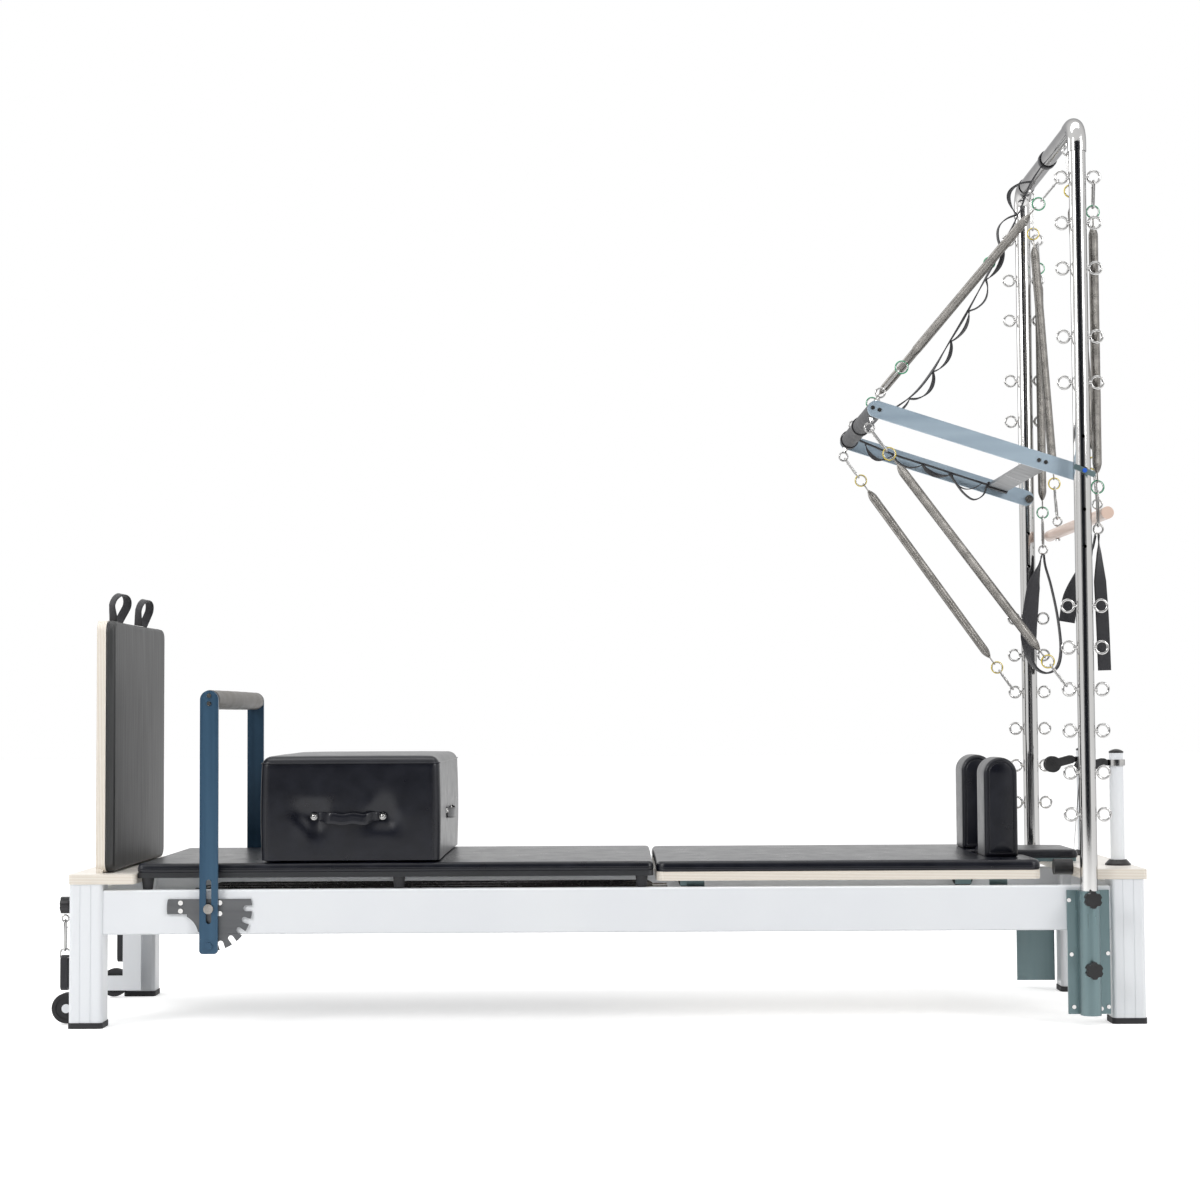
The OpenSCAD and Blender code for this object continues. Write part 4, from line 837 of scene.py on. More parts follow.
        def build(g: NodeGraph) -> None:
            figure_at = g.coords((3.0, 1.0, 0.08) if upright else (0.08, 1.0, 3.0))
            rings = g.add("ShaderNodeTexWave", Vector=figure_at, Scale=9.0,
                          Distortion=7.0, Detail=3.0, Detail_Scale=1.4)
            figure = g.ramp(rings.outputs["Fac"], 0.1, 0.95)
            pores = g.noise(g.coords((60.0, 400.0, 6.0) if upright else (6.0, 400.0, 60.0)),
                            4.0, 3.0)
            face = g.mix(g.math("MULTIPLY", figure, 0.55), (0.86, 0.82, 0.76),
                         (0.79, 0.74, 0.67))
            face = g.mix(g.ramp(pores, 0.55, 0.75, 0.0, 0.35), face, (0.62, 0.53, 0.43))
            split = g.add("ShaderNodeSeparateXYZ", Vector=g.coords())
            depth = split.outputs[through]
            wobble = g.noise(g.coords((20.0, 20.0, 20.0)), 1.0, 2.0)
            plies = g.math("SINE", g.math("MULTIPLY_ADD", depth, 2 * math.pi / 0.0034,
                                          g.math("MULTIPLY", wobble, 1.2)))
            edge = g.mix(g.ramp(plies, -0.15, 0.35), (0.70, 0.62, 0.52), (0.86, 0.82, 0.75))
            facing = g.add("ShaderNodeNewGeometry").outputs["Normal"]
            normal = g.add("ShaderNodeSeparateXYZ", Vector=facing)
            flat = g.math("ABSOLUTE", normal.outputs[through])
            g.surface(g.mix(g.ramp(flat, 0.6, 0.8), edge, face),
                      g.ramp(pores, 0.3, 0.7, 0.34, 0.46), g.bump(pores, 0.08, 0.0005),
                      Coat_Weight=0.12)

        return self.make(name, build)


LIBRARY = Library()


def put_on(obj: bpy.types.Object, body: str,
           instead_of: Iterable[str] = ()) -> bpy.types.Object:
    """Place a finished piece.

    Args:
        obj: The piece.
        body: Body that it rides on.
        instead_of: CAD nodes that it stands for.

    Returns:
        The same piece.
    """
    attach(obj, body)
    nodes = list(instead_of)
    if nodes:
        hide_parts(*nodes)
    return obj


# Upholstery


SEAM_DEPTH = 1.1
SEAM_WIDTH = 0.7
SEAM_ROWS = (-2.2, -1.2, -0.5, 0.0, 0.5, 1.2, 2.2)


@dataclass(frozen=True)
class Pad:
    """A crowned, upholstered slab whose sides pull in between its corners.

    The skin is a grid that is fine near the edges. Its height follows the distance d to
    the nearest edge: inside the edge radius r it is the arc h - r + sqrt(r^2 - (r - d)^2),
    and a low crown is added that fades towards the edges. Square corners are turned into
    round ones by scaling each corner square's largest coordinate onto its length.

    Attributes:
        lo: Lowest corner of the slab in millimetres, before it is turned.
        hi: Highest corner of the slab in millimetres, before it is turned.
        edge: Radius of the upper edges.
        corner: Radius of the upright corners.
        crown: Rise of the middle over the edges.
        pinch: How far the sides pull in between the corners.
        under: Radius of the lower edges.
        bulge: How far the side walls swell.
        seam: Height of the sewn seam along the walls, or None.
        notch: Start and half width of a notch in the +X end, or None.
        hollow: Wall and roof of a space open below, or None.
        step: Greatest size of a cell.
    """

    lo: tuple[float, float, float]
    hi: tuple[float, float, float]
    edge: float = 9.0
    corner: float = 22.0
    crown: float = 3.0
    pinch: float = 1.5
    under: float = 3.0
    bulge: float = 1.2
    seam: Optional[float] = None
    notch: Optional[tuple[float, float]] = None
    hollow: Optional[tuple[float, float]] = None
    step: float = 12.0

    @property
    def half(self) -> Array:
        """Half of the slab's length and width."""
        return (np.array(self.hi[:2]) - np.array(self.lo[:2])) / 2

    @property
    def mid(self) -> Array:
        """Middle of the slab in plan."""
        return (np.array(self.hi[:2]) + np.array(self.lo[:2])) / 2

    def _marks(self, axis: int) -> Array:
        """Grid lines along an axis: close together near each edge, then even."""
        h = self.half[axis]
        arc = self.edge * (1 - np.cos(np.linspace(0, math.pi / 2, 7)))
        rest = np.linspace(self.edge, max(self.corner, self.edge + 6), 5)[1:]
        near = np.concatenate([arc, rest])
        inner = h - near[-1]
        count = max(2, int(math.ceil(2 * inner / self.step)))
        lines = np.concatenate([near - h, np.linspace(-inner, inner, count + 1)[1:-1],
                                (h - near)[::-1]])
        if self.notch:
            start = self.notch[0] - self.mid[0]
            stops = [start] if axis == 0 else [-self.notch[1], self.notch[1]]
            for stop in stops:
                lines = lines[np.abs(lines - stop) > self.edge + 2]
                outward = (stop - arc) if axis == 0 or stop < 0 else (stop + arc)
                lines = np.concatenate([lines, outward])
            lines = np.unique(np.round(lines, 5))
        return lines

    def _plan(self, x: Array, y: Array) -> tuple[Array, Array]:
        """Round the corners of the plan and pull its sides in."""
        (hx, hy), r = self.half, self.corner
        cx, cy = np.clip(x, r - hx, hx - r), np.clip(y, r - hy, hy - r)
        dx, dy = x - cx, y - cy
        far = np.maximum(np.abs(dx), np.abs(dy))
        size = np.hypot(dx, dy)
        k = np.where(size > TINY, far / np.maximum(size, TINY), 1.0)
        return self._pinched(cx + dx * k, cy + dy * k, hx, hy)

    def _pinched(self, x: Array, y: Array, hx: float, hy: float) -> tuple[Array, Array]:
        """Sides pulled in: by most at their middle, and not at their corners."""
        in_x = self.pinch * (1 - (y / hy) ** 2) * (x / hx) ** 5
        in_y = self.pinch * (1 - (x / hx) ** 2) * (y / hy) ** 5
        return x - in_x, y - in_y

    def _notch_distance(self, x: Array, y: Array) -> Array:
        """Distance of a point outside the notch to the notch."""
        if not self.notch:
            return np.full_like(x, np.inf)
        dx = (self.notch[0] - self.mid[0]) - x
        dy = np.abs(y) - self.notch[1]
        return np.where((dx > 0) & (dy > 0), np.hypot(dx, dy), np.maximum(dx, dy))

    def build(self) -> MeshData:
        """Make the skin, in metres and in the slab's own axes."""
        height = self.hi[2] - self.lo[2]
        hx, hy = self.half
        gx, gy = self._marks(0), self._marks(1)
        x, y = np.meshgrid(gx, gy, indexing="ij")
        to_edge = np.minimum(np.minimum(hx - np.abs(x), hy - np.abs(y)),
                             self._notch_distance(x, y))
        to_edge = np.maximum(to_edge, 0)
        top = self._arc(to_edge, self.edge, height)
        fade = (1 - np.abs(x / hx) ** 4) * (1 - np.abs(y / hy) ** 4)
        fade = fade * np.clip(self._notch_distance(x, y) / 60, 0, 1)
        slack = (np.sin(x / 61 + 1.3) * np.sin(y / 47 + 0.4)
                 + np.sin(x / 23 + y / 31) * 0.4) * 0.25
        top = top + (self.crown + slack) * fade
        px, py = self._plan(x, y)
        upper = np.stack([px, py, top], 2)
        low = height - self._arc(to_edge, self.under, height)
        lower = np.stack([px, py, low], 2)
        return self._shell(upper, lower, gx, gy, height)

    @staticmethod
    def _arc(distance: Array, r: float, height: float) -> Array:
        """Height over a rounded edge, from the distance to that edge."""
        inside = np.clip(r - distance, 0, r)
        return height - r + np.sqrt(np.maximum(r * r - inside * inside, 0))

    def _cells(self, gx: Array, gy: Array) -> Array:
        """Which cells of the grid the slab has, leaving out its notch."""
        cx, cy = (gx[1:] + gx[:-1]) / 2, (gy[1:] + gy[:-1]) / 2
        keep = np.ones((len(cx), len(cy)), bool)
        if self.notch:
            start = self.notch[0] - self.mid[0]
            keep &= ~((cx[:, None] > start) & (np.abs(cy)[None, :] < self.notch[1]))
        return keep

    def _shell(self, upper: Array, lower: Array, gx: Array, gy: Array,
               height: float) -> MeshData:
        """Join the upper and lower grids by walls."""
        nx, ny = len(gx), len(gy)
        count = nx * ny
        keep = self._cells(gx, gy)
        faces, rim = [], {}
        for i in range(nx - 1):
            for j in range(ny - 1):
                if not keep[i, j]:
                    continue
                a, b, c, d = i * ny + j, (i + 1) * ny + j, (i + 1) * ny + j + 1, i * ny + j + 1
                faces.append((a, b, c, d))
                if not self.hollow:
                    faces.append((d + count, c + count, b + count, a + count))
                for u, v, inside in ((a, b, j > 0 and keep[i, j - 1]),
                                     (b, c, i < nx - 2 and keep[i + 1, j]),
                                     (c, d, j < ny - 2 and keep[i, j + 1]),
                                     (d, a, i > 0 and keep[i - 1, j])):
                    if not inside:
                        rim[u] = v
        loop = [next(iter(rim))]
        while rim[loop[-1]] != loop[0]:
            loop.append(rim[loop[-1]])
        verts = np.vstack([upper.reshape(-1, 3), lower.reshape(-1, 3)])
        return self._walls(verts, faces, loop, count, height)

    def _walls(self, verts: Array, faces: list, loop: list, count: int,
               height: float) -> MeshData:
        """Add rows of wall cells with the seam's groove, and the hollow below."""
        ring = np.array(loop)
        top, low = verts[ring], verts[ring + count]
        out = self._outward(top)
        z_top, z_low = height - self.edge, self.under
        levels = np.linspace(z_top, z_low, max(4, int((z_top - z_low) / 5)))[1:-1]
        if self.seam is not None:
            near = self.seam + np.array(SEAM_ROWS)
            levels = np.concatenate([levels[np.abs(levels - self.seam) > 3], near])
            levels = np.sort(levels[(levels < z_top) & (levels > z_low)])[::-1]
        last = ring
        for z in levels:
            t = (z_top - z) / (z_top - z_low)
            push = self.bulge * math.sin(math.pi * t)
            if self.seam is not None:
                push -= SEAM_DEPTH * math.exp(-((z - self.seam) / SEAM_WIDTH) ** 2)
            row = top * (1 - t) + low * t
            row[:, :2] += out * push
            row[:, 2] = z
            new = np.arange(len(verts), len(verts) + len(ring))
            verts = np.vstack([verts, row])
            faces.extend(self._band(last, new))
            last = new
        faces.extend(self._band(last, ring + count))
        if self.hollow:
            verts, faces = self._hollow(verts, faces, ring + count, height)
        verts = verts.copy()
        verts[:, :2] += self.mid
        verts[:, 2] += self.lo[2]
        used = np.unique(np.concatenate([np.array(f) for f in faces]))
        index = np.full(len(verts), -1)
        index[used] = np.arange(len(used))
        return MeshData(verts[used] * MM, [tuple(index[list(f)]) for f in faces])

    def _hollow(self, verts: Array, faces: list, rim: Array,
                height: float) -> tuple[Array, list]:
        """Add the rim under the walls, the inner walls and the inner roof."""
        wall, roof = self.hollow
        edge = verts[rim]
        scale = (self.half - wall) / self.half
        inner = edge * np.array([scale[0], scale[1], 1.0])
        last = rim
        for z in (0.0, 2.0, height / 2, height - roof):
            new = np.arange(len(verts), len(verts) + len(rim))
            row = inner.copy()
            row[:, 2] = z
            verts = np.vstack([verts, row])
            faces.extend(self._band(last, new))
            last = new
        centre = len(verts)
        verts = np.vstack([verts, [[0.0, 0.0, height - roof]]])
        faces.extend((int(a), int(b), centre) for a, b in zip(last, np.roll(last, -1)))
        return verts, faces

    @staticmethod
    def _outward(loop: Array) -> Array:
        """Unit directions that point out of a closed loop in plan."""
        ahead = np.roll(loop, -1, 0) - np.roll(loop, 1, 0)
        return unit_rows(np.stack([ahead[:, 1], -ahead[:, 0]], 1))

    @staticmethod
    def _band(upper: Array, lower: Array) -> list:
        """Faces between two loops of equal length, facing out."""
        up2, low2 = np.roll(upper, -1), np.roll(lower, -1)
        return [tuple(int(v) for v in q) for q in zip(upper, lower, low2, up2)]

    def outline(self, z: float, out: float) -> Array:
        """A line round the slab.

        Args:
            z: Height over its foot.
            out: Distance outside its walls.

        Returns:
            Points in metres, one row each.
        """
        hx, hy = self.half
        r = self.corner
        turn = np.linspace(0, math.pi / 2, 9)
        rows = []
        for sx, sy, start in ((1, 1, 0), (-1, 1, 1), (-1, -1, 2), (1, -1, 3)):
            a = turn + start * math.pi / 2
            rows.append(np.stack([sx * (hx - r) + r * np.cos(a),
                                  sy * (hy - r) + r * np.sin(a)], 1))
        pts = np.vstack(rows)
        dense = []
        for a, b in zip(pts, np.roll(pts, -1, 0)):
            n = max(1, int(np.linalg.norm(b - a) / 10))
            dense.append(a + (b - a) * np.linspace(0, 1, n, endpoint=False)[:, None])
        pts = np.stack(self._pinched(*np.vstack(dense).T, hx, hy), 1)
        pts = pts + self._outward(pts) * out + self.mid
        return np.column_stack([pts, np.full(len(pts), z + self.lo[2])]) * MM

    def stitches(self, lift: float, out: float) -> list[MeshData]:
        """A row of stitches on each side of the seam.

        Args:
            lift: Distance of each row from the seam.
            out: Distance of the thread outside the walls.

        Returns:
            The two rows, in the second material.
        """
        return [stitch_row(self.outline(self.seam + side * lift, out), closed=True).marked(1)
                for side in (-1, 1)]


def stitch_row(path: Array, length: float = 0.0032, gap: float = 0.0016,
               thick: float = 0.00028, closed: bool = False) -> MeshData:
    """A row of short thread stitches laid along a path.

    Args:
        path: Points of the path in metres, one row each.
        length: Length of one stitch.
        gap: Gap between two stitches.
        thick: Radius of the thread.
        closed: Whether the path returns to its start.

    Returns:
        Small six-sided capsules, one for each stitch.
    """
    if closed:
        path = np.vstack([path, path[:1]])
    run = run_length(path)
    starts = np.arange(0, run[-1] - length, length + gap)
    a, b = sampled(starts, run, path), sampled(starts + length, run, path)
    d = unit_rows(b - a)
    u = unit_rows(np.cross(d, np.where(np.abs(d[:, 2:3]) < STEEP, Z_AXIS, X_AXIS)))
    v = np.cross(d, u)
    sides = 6
    ang = np.linspace(0, 2 * math.pi, sides, endpoint=False)
    rings = []
    for t, r in ((0.0, 0.35), (0.2, 1.0), (0.8, 1.0), (1.0, 0.35)):
        base = a + (b - a) * t
        rings.append(base[:, None, :] + thick * r * (
            np.cos(ang)[None, :, None] * u[:, None, :]
            + np.sin(ang)[None, :, None] * v[:, None, :]))
    count = sides * len(rings)
    one = grid_faces(len(rings), sides)
    one += [tuple(range(sides - 1, -1, -1)), tuple(range(count - sides, count))]
    faces = [tuple(i * count + p for p in face) for i in range(len(starts)) for face in one]
    return MeshData(np.stack(rings, 1).reshape(-1, 3), faces)


@dataclass(frozen=True)
class Bolster:
    """An upright pad with a full round top, sewn round both of its flat sides.

    Its outline in the XZ plane is a slab with a half-round head. Loops of that outline are
    drawn in towards the middle line on both flat sides, over a rounded edge, a groove for
    the seam and then a low swelling.

    Attributes:
        x: Middle of the pad along X, in millimetres.
        y: Middle of the pad along Y.
        z: Height of its foot.
        length: Size along X.
        width: Size along Y.
        height: Size along Z.
        edge: Radius of the edges round the flat sides.
        swell: Rise of the flat sides' middle.
        seam: Distance of the seam in from the outline.
        foot: Radius of the outline's lower corners.
    """

    x: float
    y: float
    z: float
    length: float
    width: float
    height: float
    edge: float = 9.0
    swell: float = 3.5
    seam: float = 9.5
    foot: float = 6.0

    def _outline(self) -> tuple[Array, Array]:
        """The outline, and for each of its points the nearest point of the middle line."""
        a = self.length / 2
        head = self.height - a
        foot = self.foot
        right = [(a - foot + foot * math.sin(t), foot - foot * math.cos(t))
                 for t in np.linspace(0, math.pi / 2, 5)]
        right += [(a, z) for z in np.linspace(foot, head, 16)[1:]]
        round_top = [(a * math.cos(t), head + a * math.sin(t))
                     for t in np.linspace(0, math.pi, 25)[1:-1]]
        left = [(-x, z) for x, z in reversed(right)]
        base = [(x, 0.0) for x in np.linspace(foot - a, a - foot, 7)[1:-1]]
        outline = np.array(right + round_top + left + base)
        core = np.stack([np.zeros(len(outline)), np.clip(outline[:, 1], a, head)], 1)
        return outline, core

    def _loops(self) -> list[tuple[float, float]]:
        """Pairs (share of the way to the middle line, depth below the flat side)."""
        a = self.length / 2
        rows = [(self.edge * (1 - math.cos(t)) / a, self.edge * (1 - math.sin(t)))
                for t in np.linspace(0, math.pi / 2, 7)]
        for s in (0.6, 0.9, 1.2, 1.6, 2.2, 3.0):
            inset = self.edge + s
            groove = 1.2 * math.exp(-((inset - self.seam - 0.7) / 0.8) ** 2)
            rows.append((inset / a, groove))
        for share in np.linspace(0.38, 1.0, 9):
            rise = self.swell * math.sin(math.pi / 2 * (share - 0.3) / 0.7)
            rows.append((share, -max(rise, 0.0)))
        return rows

    def build(self) -> MeshData:
        """Make the skin in metres, in its place."""
        outline, core = self._outline()
        n = len(outline)
        half = self.width / 2
        rows = self._loops()
        layers = [(share, -half + depth + self.swell) for share, depth in rows[::-1]]
        for y in np.linspace(-half + self.edge + self.swell,
                             half - self.edge - self.swell, 9)[1:-1]:
            layers.append((-0.012 * math.sin(math.pi * (y + half) / (2 * half)), y))
        layers += [(share, half - depth - self.swell) for share, depth in rows]
        verts = []
        for share, y in layers:
            p = outline + (core - outline) * share
            verts.append(np.column_stack([p[:, 0] + self.x, np.full(n, y + self.y),
                                          p[:, 1] + self.z]))
        faces = grid_faces(len(layers), n)
        faces.append(tuple(range(n - 1, -1, -1)))
        faces.append(tuple(range((len(layers) - 1) * n, len(layers) * n)))
        return MeshData(np.vstack(verts) * MM, faces)

    def seam_path(self, side: float) -> Array:
        """The seam's line on one flat side.

        Args:
            side: Sign of the side.

        Returns:
            Points in metres, one row each.
        """
        outline, core = self._outline()
        p = outline + (core - outline) * (self.seam + 2.6) / (self.length / 2)
        y = self.y + side * (self.width / 2 - self.swell + 0.1)
        keep = p[:, 1] > self.seam + 2
        path = np.column_stack([p[:, 0] + self.x, np.full(len(p), y), p[:, 1] + self.z])
        return path[keep] * MM


# Wire goods: springs, clips and rings


SPRING_MARK = 3


def oblong(width: float, length: float, corner: float) -> Array:
    """Points round an oblong, as pairs (across, along), with its start at along = 0.

    Args:
        width: Full width.
        length: Full length.
        corner: Radius of its corners.

    Returns:
        Pairs in order round the oblong.
    """
    w, r = width / 2, corner
    rows = []
    for cx, cy, start in ((w - r, r, -90), (w - r, length - r, 0), (r - w, length - r, 90),
                          (r - w, r, 180)):
        a = np.radians(np.linspace(start, start + 90, 9))
        rows.append(np.stack([cx + r * np.cos(a), cy + r * np.sin(a)], 1))
    return np.vstack(rows)


@dataclass(frozen=True)
class Line:
    """A straight chain line from the centre of one eye to the centre of another."""

    a: Array
    b: Array

    @property
    def along(self) -> Array:
        """Unit direction from a to b."""
        return unit(self.b - self.a)

    @property
    def across(self) -> Array:
        """Unit direction square to the line and nearest to +Y."""
        return unit(Y_AXIS - self.along * self.along[1])

    @property
    def length(self) -> float:
        """Distance between the eyes."""
        return float(np.linalg.norm(self.b - self.a))

    def at(self, s: float) -> Array:
        """The point at a distance from a."""
        return self.a + self.along * s

    def turned(self) -> "Line":
        """The same line from b to a."""
        return Line(self.b, self.a)


class WireGoods:
    """Makes clips, coloured rings and springs in millimetres along a line."""

    def __init__(self, layout: Layout) -> None:
        self.layout = layout

    def clip(self, line: Line, start: float, length: float, width: float = LAYOUT.clip_w,
             corner: Optional[float] = None) -> MeshData:
        """A snap clip: an oblong of wire with a sprung gate on one long side.

        Args:
            line: The chain line.
            start: Distance of its outer end from the line's start.
            length: Outer length.
            width: Outer width.
            corner: Radius of the middle line's corners, nearly half a turn if None.

        Returns:
            The clip in metres.
        """
        wire = self.layout.clip_wire
        corner = (width - 2 * wire) / 2 - 0.5 if corner is None else corner
        pairs = oblong(width - 2 * wire, length - 2 * wire, corner)
        pts = (line.at(start + wire) + pairs[:, :1] * line.across
               + pairs[:, 1:] * line.along)
        body = sweep(pts * MM, circle_profile(wire * MM, 12), closed=True)
        side = line.across * (width / 2 - wire)
        g0, g1 = start + length * 0.24, start + length * 0.70
        gate = sweep(np.array([line.at(g) + side for g in np.linspace(g0, g1, 8)]) * MM,
                     circle_profile((wire + 0.55) * MM, 16))
        nose = turned_at([(0.0, -0.2), (wire + 0.9, 0.0), (wire + 0.9, 2.6), (0.0, 2.8)],
                         line.at(g1 + 0.8) + side, line.along, 16)
        pin = turned_at([(0.0, -3.3), (1.1, -3.2), (1.1, 3.2), (0.0, 3.3)],
                        line.at(g0 + 2.0) + side, np.cross(line.along, line.across), 12)
        return MeshData.joined([body, gate, nose, pin])

    def ring(self, centre: Array, coat: int, radius: Optional[float] = None,
             wire: Optional[float] = None) -> MeshData:
        """A steel ring in the XZ plane.

        Args:
            centre: Its middle, in millimetres.
            coat: Material index of a coloured outer ring, or 0 for none.
            radius: Radius of the wire's middle line.
            wire: Radius of the wire.

        Returns:
            The ring in metres.
        """
        radius = radius or self.layout.ring_r
        wire = wire or self.layout.ring_wire
        if not coat:
            return torus(centre * MM, Y_AXIS, radius * MM, wire * MM)
        inner = torus(centre * MM, Y_AXIS, (radius - 0.8) * MM, 1.4 * MM).marked(0)
        outer = torus(centre * MM, Y_AXIS, (radius + 0.75) * MM, 1.5 * MM, 48).marked(coat)
        return MeshData.joined([inner, outer])

    def spring(self, line: Line, start: float, end: float, reach: float) -> MeshData:
        """A close-wound spring with tapered ends, each with an eye round its ring.

        The wire is a helix whose radius grows over each taper. Its centre line at share s
        is axis(s) + r(s) (cos a, sin a), with a proportional to s.

        Args:
            line: The chain line, in millimetres.
            start: Distance of the spring's first end from the line's start.
            end: Distance of its last end from the line's start.
            reach: Distance from each end to the middle of the ring it hangs on.

        Returns:
            The spring in metres.
        """
        hook, taper, wire, pitch, tip_r = 16.0, 24.0, 1.12, 2.31, 2.2
        u = line.across
        v = np.cross(line.along, u)
        s0, s1 = start + hook, end - hook
        turns = (s1 - s0) / pitch
        n = int(turns * 12)
        s = np.linspace(s0, s1, n)
        a = np.linspace(0, 2 * math.pi * turns, n)
        full = self.layout.spring_r - wire
        near = np.minimum(s - s0, s1 - s)
        grow = np.clip(near / taper, 0, 1)
        r = tip_r + (full - tip_r) * np.sin(grow * math.pi / 2) ** 0.9
        radial = np.cos(a)[:, None] * u + np.sin(a)[:, None] * v
        path = line.a + s[:, None] * line.along + r[:, None] * radial
        parts = [sweep(path * MM, circle_profile(wire * MM, 5), across=radial)]
        body_l = s1 - s0 - 2 * taper
        rows = [(full - 1.4, d) for d in np.linspace(0.5, body_l, 32)]
        parts.append(turned_at([(0.0, 0.0)] + rows + [(0.0, body_l + 0.5)],
                               line.at(s0 + taper), line.along, 14))
        for at, way in ((start, 1.0), (end, -1.0)):
            eye_mid = at - way * (reach - 14.4)
            parts.append(torus(line.at(eye_mid) * MM, v, 4.6 * MM, 1.25 * MM, 24, 8))
            stem = [line.at(eye_mid + way * d) for d in (4.4, 8.0, 14.0, 20.5)]
            parts.append(sweep(np.array(stem) * MM, circle_profile(1.7 * MM, 10)))
        return MeshData.joined(parts)

    def chain(self, line: Line, eye_a: float, eye_b: float, clip_l: float,
              coat: int) -> MeshData:
        """A whole chain: clip, ring, spring, ring and clip.

        Args:
            line: Line between the two eyes, in millimetres.
            eye_a: Inner radius of the eye at the start.
            eye_b: Inner radius of the eye at the end.
            clip_l: Length of each clip.
            coat: Material index of both rings' coats.

        Returns:
            The chain in metres.
        """
        lay = self.layout
        back = line.turned()
        ring_a, ring_b = lay.ring_from(eye_a, clip_l), lay.ring_from(eye_b, clip_l)
        gap = lay.spring_gap
        return MeshData.joined([
            self.clip(line, lay.clip_from(eye_a), clip_l),
            self.ring(line.at(ring_a), coat),
            self.spring(line, ring_a + gap, line.length - ring_b - gap,
                        gap).marked(SPRING_MARK),
            self.ring(back.at(ring_b), coat),
            self.clip(back, lay.clip_from(eye_b), clip_l),
        ])


# Webbing


@dataclass
class Strap:
    """A flat strap that follows given points, each with its own width direction.

    Attributes:
        points: Points in millimetres.
        across: Width direction at each point.
        width: Width at each point, or one width.
        thick: Thickness at each point, or one thickness.
    """

    points: Sequence[Sequence[float]]
    across: Sequence[Sequence[float]]
    width: object = LAYOUT.strap_w
    thick: object = LAYOUT.strap_t

    def _laid(self, per_span: int, closed: bool = False) -> tuple[Array, ...]:
        """The path, and the width direction, width and thickness along it."""
        pts = np.array(self.points, float)
        path = smooth_path(pts, per_span, closed)
        key = np.arange(len(pts) + closed)
        at = np.linspace(0, key[-1], len(path), endpoint=not closed)

        def along(values: object) -> Array:
            rows = np.broadcast_to(np.asarray(values, float), len(pts))
            return np.interp(at, key, np.append(rows, rows[:1]) if closed else rows)

        across = np.stack([along(row) for row in np.array(self.across, float).T], 1)
        return path, across, along(self.width), along(self.thick)

    def build(self, per_span: int = 8, closed: bool = False) -> MeshData:
        """Make the strap: its cross-section is scaled and carried along the smooth path.

        Args:
            per_span: Steps between two points.
            closed: Whether the strap returns to its start.

        Returns:
            The strap in metres, with the weave's map along it.
        """
        path, across, width, thick = self._laid(per_span, closed)
        profile = flat_profile(1.0, 0.125) * [1, 8]
        return sweep(path * MM, profile, across, closed, np.stack([width, thick], 1) * MM)

    def sewn(self, share: float, per_span: int = 8) -> MeshData:
        """Two rows of stitches on both faces.

        Args:
            share: Where the rows run, as a share of the half width.
            per_span: Steps between two points.

        Returns:
            The stitches in metres.
        """
        path, across, width, thick = self._laid(per_span)
        t = tangents(path, False)
        u = square_to(across, t)
        v = np.cross(t, u)
        rows = []
        for side in (-1, 1):
            for face in (-1, 1):
                line = (path + u * (side * share * width / 2)[:, None]
                        + v * (face * (thick / 2 + 0.05))[:, None])
                rows.append(stitch_row(line * MM))
        return MeshData.joined(rows)


def sewn_straps(straps: Sequence[Strap], share: float, per_span: int = 8) -> MeshData:
    """Straps in the first material with rows of stitches in the second."""
    return MeshData.joined([s.build(per_span).marked(0) for s in straps]
                           + [s.sewn(share, per_span).marked(1) for s in straps])


# Parts of the CAD model that get several finishes


class Islands:
    """The separate solids of a CAD node, read from its mesh without changing it.

    Args:
        node: Name of the CAD node.
    """

    def __init__(self, node: str) -> None:
        mesh = frame["nodes"][node].data
        co = np.empty(len(mesh.vertices) * 3, np.float32)
        mesh.vertices.foreach_get("co", co)
        co = co.reshape(-1, 3).astype(float)
        corner = np.empty(len(mesh.loops), np.int32)
        mesh.loops.foreach_get("vertex_index", corner)
        keys, first, weld = np.unique(np.round(co / 2e-6).astype(np.int64), axis=0,
                                      return_index=True, return_inverse=True)
        self.verts = co[first]
        self.tris = weld.reshape(-1)[corner].reshape(-1, 3)
        label = np.arange(len(self.verts))
        while True:
            low = label[self.tris].min(1)
            new = label.copy()
            for k in range(3):
                np.minimum.at(new, self.tris[:, k], low)
            new = new[new]
            if np.array_equal(new, label):
                break
            label = new
        self.tags = label[self.tris[:, 0]]

    def each(self) -> Iterable[tuple[MeshData, Array, Array]]:
        """Each solid with the lowest and highest corner of its box."""
        for tag in np.unique(self.tags):
            tris = self.tris[self.tags == tag]
            used, index = np.unique(tris, return_inverse=True)
            verts = self.verts[used]
            faces = [tuple(f) for f in index.reshape(-1, 3)]
            yield MeshData(verts, faces), verts.min(0), verts.max(0)


def recoated(node: str, name: str, body: str,
             choose: Callable[[Array, Array, Array], Array],
             materials: Sequence[bpy.types.Material],
             drop: Optional[Callable[[Array, Array], bool]] = None,
             extra: Sequence[MeshData] = ()) -> bpy.types.Object:
    """Stand a finished copy in for a CAD node that has several finishes.

    Args:
        node: The CAD node.
        name: Name of the new piece.
        body: Body that it rides on.
        choose: Gives the material index of each face from its middle and the corners of
            its solid's box.
        materials: The materials.
        drop: Tells from a solid's box that it isn't copied.
        extra: Further meshes that join the copy.

    Returns:
        The new piece.
    """
    parts = []
    for data, lo, hi in Islands(node).each():
        if drop and drop(lo, hi):
            continue
        mids = data.verts[np.array(data.faces)].mean(1)
        data.marks = np.asarray(choose(mids, lo, hi)) * np.ones(len(data.faces), int)
        parts.append(data)
    parts.extend(extra)
    obj = make_object(name, MeshData.joined(parts), materials, 30.0)
    return put_on(obj, body, [node])


# The sub-assemblies


